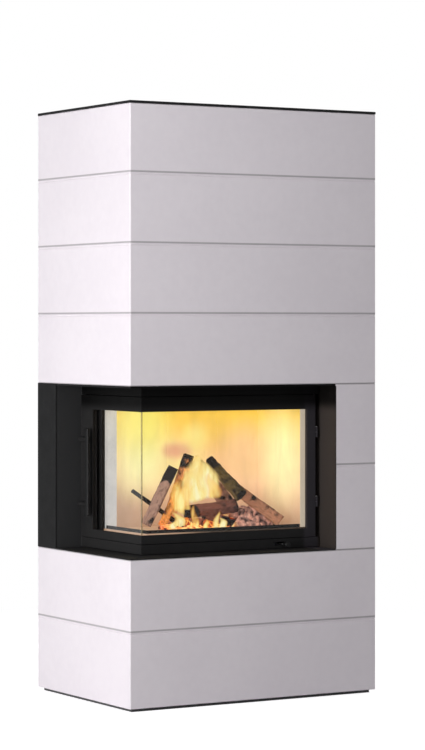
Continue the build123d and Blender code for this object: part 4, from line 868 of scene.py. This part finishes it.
def coal_tree():
    """Geometry Nodes that scatter coals of mixed sizes over a mound, and the tree's named inputs."""
    tree = bpy.data.node_groups.new("scatter_coals", "GeometryNodeTree")
    tree.is_modifier = True
    tree.interface.new_socket("Mound", in_out="INPUT", socket_type="NodeSocketGeometry")
    named = {}
    for label, (kind, value) in COAL_INPUTS.items():
        named[label] = tree.interface.new_socket(label, in_out="INPUT", socket_type=kind)
        named[label].default_value = value
    tree.interface.new_socket("Coals", in_out="OUTPUT", socket_type="NodeSocketGeometry")
    given, result = add_node(tree, "NodeGroupInput").outputs, add_node(tree, "NodeGroupOutput").inputs
    scatter = add_node(
        tree, "GeometryNodeDistributePointsOnFaces",
        {"Mesh": given["Mound"], "Density": given["Density"], "Seed": given["Seed"]},
    )
    coal = add_node(tree, "GeometryNodeMeshIcoSphere", {"Subdivisions": 2, "Radius": 1.0})
    sizes = {"Min": given["Smallest"], "Max": given["Largest"]}
    spread = add_node(tree, "FunctionNodeRandomValue", sizes, data_type="FLOAT").outputs["Value"]
    turns = {"Max": (FULL_TURN, FULL_TURN, FULL_TURN)}
    turn = add_node(tree, "FunctionNodeRandomValue", turns, data_type="FLOAT_VECTOR").outputs["Value"]
    flat = multiply(tree, spread, COAL_FLATNESS)
    squash = add_node(tree, "ShaderNodeCombineXYZ", {0: spread, 1: spread, 2: flat})
    place = add_node(tree, "GeometryNodeInstanceOnPoints", {
        "Points": scatter.outputs["Points"], "Instance": coal.outputs["Mesh"],
        "Rotation": turn, "Scale": squash.outputs[0],
    })
    realise = add_node(tree, "GeometryNodeRealizeInstances", {0: place.outputs["Instances"]})
    finish = add_node(
        tree, "GeometryNodeSetMaterial", {"Geometry": realise.outputs[0], "Material": MATERIALS["embers"]}
    )
    link(tree, finish.outputs[0], result["Coals"])
    return tree, named


def mound_shape(middle, reach, height):
    """A low mound on the hearth, in layers, as points and faces."""
    points, faces = [], []
    for layer in range(HEAP_LAYERS):
        top = height * (1.0 - layer / HEAP_LAYERS)
        hub = len(points)
        points.append(Vector((*middle, HEARTH + top)))
        for ring in range(1, HEAP_RINGS + 1):
            share = ring / HEAP_RINGS
            for side in range(HEAP_SIDES):
                angle = 2.0 * math.pi * side / HEAP_SIDES
                lobe, ripple = math.sin(LOBES * angle + 1.0), math.sin(RIPPLES * angle)
                wobble = share * (1.0 + LOBE_SIZE * lobe + RIPPLE_SIZE * ripple)
                points.append(Vector((
                    middle[0] + reach[0] * wobble * math.cos(angle),
                    middle[1] + reach[1] * wobble * math.sin(angle),
                    HEARTH + top * (1.0 - share * share) + HEAP_LIFT,
                )))
        for side in range(HEAP_SIDES):
            faces.append((hub, hub + 1 + side, hub + 1 + (side + 1) % HEAP_SIDES))
        faces += tube_faces(hub + 1, HEAP_RINGS - 1, HEAP_SIDES, flip=True)
    return points, faces


def build_coals():
    """Each heap is scattered by Geometry Nodes and then turned into one plain mesh."""
    tree, named = coal_tree()
    for name, middle, reach, height, *scatter in COAL_HEAPS:
        mound = mesh_piece(name + "_source", *mound_shape(middle, reach, height), "embers")
        modifier = mound.modifiers.new("coals", "NODES")
        modifier.node_group = tree
        for label, value in zip(COAL_INPUTS, scatter):
            modifier[named[label].identifier] = value
        mesh = bpy.data.meshes.new_from_object(mound.evaluated_get(bpy.context.evaluated_depsgraph_get()))
        bpy.data.objects.remove(mound)
        mesh.name = name
        coals = add_object(name, mesh)
        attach(coals, "wood_load")


# ---- flames -----------------------------------------------------------------------------------------------
# foot, height, width, lean across and back, seed, paleness, density; no tongue reaches the baffle
# when the load is lifted
FLAMES = [
    ((-0.078, -0.077, 0.612), 0.171, 0.078, (0.003, 0.004), 1, 1.0, 0.95),
    ((-0.098, -0.072, 0.600), 0.172, 0.076, (0.006, 0.004), 2, 0.90, 0.92),
    ((-0.052, -0.090, 0.616), 0.152, 0.080, (-0.004, 0.004), 3, 0.95, 0.95),
    ((-0.138, -0.060, 0.575), 0.125, 0.056, (0.010, 0.002), 4, 0.05, 0.65),
    ((-0.122, -0.070, 0.565), 0.140, 0.054, (0.004, 0.002), 5, 0.25, 0.70),
    ((-0.156, -0.098, 0.527), 0.060, 0.044, (-0.012, 0.000), 6, 0.70, 0.85),
    ((-0.170, -0.090, 0.527), 0.034, 0.034, (0.006, 0.000), 15, 0.80, 0.85),
    ((-0.110, -0.120, 0.527), 0.084, 0.026, (-0.006, 0.000), 7, 0.20, 0.75),
    ((-0.088, -0.146, 0.527), 0.036, 0.020, (0.002, 0.000), 12, 0.05, 0.80),
    ((-0.056, -0.156, 0.527), 0.062, 0.022, (0.008, 0.000), 8, 0.45, 0.70),
    ((-0.030, -0.152, 0.527), 0.040, 0.030, (-0.008, 0.000), 9, 0.90, 0.80),
    ((-0.047, -0.128, 0.618), 0.090, 0.050, (-0.010, 0.004), 10, 0.10, 0.55),
    ((-0.068, -0.082, 0.622), 0.140, 0.064, (0.004, 0.004), 13, 1.0, 0.95),
    ((-0.088, -0.084, 0.608), 0.120, 0.070, (-0.004, 0.004), 14, 0.95, 0.90),
]
FLAME_ROWS, FLAME_SIDES = 26, 28
FLAME_THICKNESS, FLAME_SWELL, FLAME_SWAY = 0.10, 2.1, 0.30
FLAME_TIP = 0.0006
SWAY_CLOSENESS, SWAY_SHIFT = 6.0, 1.9
# the outline widens from the foot by one power and closes at the tip by another
FOOT_SHARE, WIDENING, CLOSING = 0.12, 0.5, 0.85
FLAME_ACROSS = Vector((math.cos(math.radians(CAMERA_TURN)), -math.sin(math.radians(CAMERA_TURN)), 0.0))
FLAME_OUTWARD = Vector((FLAME_ACROSS.y, -FLAME_ACROSS.x, 0.0))


def build_flame(name, foot, height, width, lean, seed, paleness, density):
    """A closed, thin, swaying tongue that faces the front left corner; UV runs across and up it."""
    points, places = [], []
    for row in range(FLAME_ROWS + 1):
        share = row / FLAME_ROWS
        sway = FLAME_SWAY * width * math.sin(share * SWAY_CLOSENESS + seed * SWAY_SHIFT) * share
        widest = 0.5 * width * FLAME_SWELL
        half = widest * (share + FOOT_SHARE) ** WIDENING * (1.0 - share) ** CLOSING + FLAME_TIP
        rise = Vector((lean[0] * share * share, lean[1] * share, height * share))
        middle = Vector(foot) + rise + FLAME_ACROSS * sway
        for side in range(FLAME_SIDES):
            angle = 2.0 * math.pi * side / FLAME_SIDES
            x, y = half * math.cos(angle), half * FLAME_THICKNESS * math.sin(angle)
            points.append(middle + FLAME_ACROSS * x + FLAME_OUTWARD * y)
            places.append((0.5 + 0.5 * math.cos(angle), share))
    faces = tube_faces(0, FLAME_ROWS, FLAME_SIDES, flip=True)
    last = FLAME_ROWS * FLAME_SIDES
    faces += [tuple(range(FLAME_SIDES)), tuple(reversed(range(last, last + FLAME_SIDES)))]
    piece = mesh_piece(name, points, faces, "flame")
    layer = piece.data.uv_layers.new(name="tongue")
    for loop in piece.data.loops:
        layer.data[loop.index].uv = places[loop.vertex_index]
    store_vectors(piece, "flame_kind", [(paleness, density, 0.0)] * len(points))
    return piece


def build_flames():
    """The tongues ride with the logs they burn on."""
    for index, flame in enumerate(FLAMES):
        piece = build_flame(f"flame_{index + 1}", *flame)
        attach(piece, "wood_load")


# ---- stage: camera, lamps, room and floor -----------------------------------------------------------------
FLOOR_REACH, FLOOR_LIFT, FLOOR_FADE = 30.0, 0.70, (1.2, 2.6)
FLOOR_SPECKLE, FLOOR_SHADES = 3.0, [(0.3, 0.74), (0.7, 0.77)]
ROOM_TONE, ROOM_LEVEL = (0.97, 0.97, 1.0), 0.11
# name, place, target and size in metres, power in watts: a key from the left, a weak front, two fills behind
SOFT_BOXES = [
    ("key", (-4.20, -1.455, 1.052), (-0.2, 0.0, 1.0), 2.0, 155.0),
    ("front", (-0.545, -1.62, 2.038), (0.0, 0.0, 1.0), 2.0, 9.7),
    ("right_fill", (5.0, 1.6, 1.8), (0.1, 0.0, 1.0), 3.0, 90.0),
    ("back_fill", (1.6, 5.2, 2.0), (0.0, 0.0, 1.0), 3.0, 90.0),
]
# name, place in metres, power in watts, radius in metres, colour
FIRE_LAMPS = [
    ("fire_heart", (-0.070, -0.085, 0.700), 0.45, 0.04, (1.0, 0.70, 0.36)),
    ("fire_low", (-0.085, -0.150, 0.575), 0.12, 0.03, (1.0, 0.52, 0.18)),
]


def make_camera():
    """Level, at the photograph's place, with its horizon kept by the shift."""
    camera = add_object("camera", bpy.data.cameras.new("camera"))
    camera.location = CAMERA_PLACE
    camera.rotation_euler = (math.radians(90.0), 0.0, -math.radians(CAMERA_TURN))
    camera.data.sensor_width = SENSOR
    camera.data.lens = FOCAL_PIXELS * SENSOR / PHOTO_HEIGHT
    camera.data.shift_y = -HORIZON_ABOVE_MIDDLE / PHOTO_HEIGHT
    camera.data.clip_end = 100.0
    bpy.context.scene.camera = camera


def add_lamp(name, kind, place, power, colour=WHITE):
    """A lamp that the camera doesn't see."""
    lamp = bpy.data.lights.new(name, kind)
    lamp.energy, lamp.color = power, colour
    holder = add_object(name, lamp)
    holder.location = place
    holder.visible_camera = False
    return holder


def area_light(name, place, target, size, power):
    """A square soft box turned to its target."""
    holder = add_lamp(name, "AREA", place, power)
    holder.data.shape = "RECTANGLE"
    holder.data.size, holder.data.size_y = size, size
    holder.rotation_euler = (Vector(target) - Vector(place)).to_track_quat("-Z", "Y").to_euler()


def fire_light(name, place, power, radius, colour):
    """A soft lamp among the logs, itself unseen."""
    holder = add_lamp(name, "POINT", place, power, colour)
    holder.data.shadow_soft_size = radius
    holder.visible_glossy = False
    holder.visible_transmission = False


def make_lights():
    """The soft boxes round the stove and the fire's own light."""
    for lamp in SOFT_BOXES:
        area_light(*lamp)
    for lamp in FIRE_LAMPS:
        fire_light(*lamp)


def make_world():
    """White to the camera and in reflections, a plain even light otherwise."""
    world = bpy.data.worlds.new("room")
    bpy.context.scene.world = world
    world.use_nodes = True
    tree = world.node_tree
    tree.nodes.clear()
    seen = rays_node(tree, "Is Camera Ray", "Is Glossy Ray", "Is Transmission Ray")
    white = add_node(tree, "ShaderNodeBackground", {"Color": WHITE, "Strength": 1.0})
    even = add_node(tree, "ShaderNodeBackground", {"Color": ROOM_TONE, "Strength": ROOM_LEVEL})
    blend_shaders(tree, seen, even.outputs[0], white.outputs[0], add_node(tree, "ShaderNodeOutputWorld"))


def make_floor():
    """A plain pale floor that keeps the stove's shadow and otherwise reads white."""
    material, tree, shader = start_material(
        "floor", Roughness=0.9, Specular_IOR_Level=0.1, Emission_Color=WHITE
    )
    place = object_position(tree)
    speckle = noise_node(tree, place, FLOOR_SPECKLE, 2.0)
    link(tree, grey_ramp(tree, speckle, FLOOR_SHADES), shader["Base Color"])
    seen = rays_node(tree, "Is Camera Ray", "Is Glossy Ray")
    link(tree, multiply(tree, seen, FLOOR_LIFT), shader["Emission Strength"])
    far = multiply(tree, seen, span_node(tree, length_node(tree, place), *FLOOR_FADE))
    white = add_node(tree, "ShaderNodeEmission", {"Color": WHITE, "Strength": 1.0})
    pale = tree.nodes["Principled BSDF"]
    blend_shaders(tree, far, pale.outputs[0], white.outputs[0], tree.nodes["Material Output"])
    mesh = bpy.data.meshes.new("floor")
    corners = [(x * FLOOR_REACH, y * FLOOR_REACH, 0.0) for x, y in ((-1, -1), (1, -1), (1, 1), (-1, 1))]
    mesh.from_pydata(corners, [], [(0, 1, 2, 3)])
    mesh.materials.append(material)
    floor = add_object("floor", mesh)


make_camera()
dress_cad_nodes()
build_firewood()
build_coals()
build_flames()
make_lights()
make_world()
make_floor()
bpy.context.scene.view_settings.view_transform = "Standard"
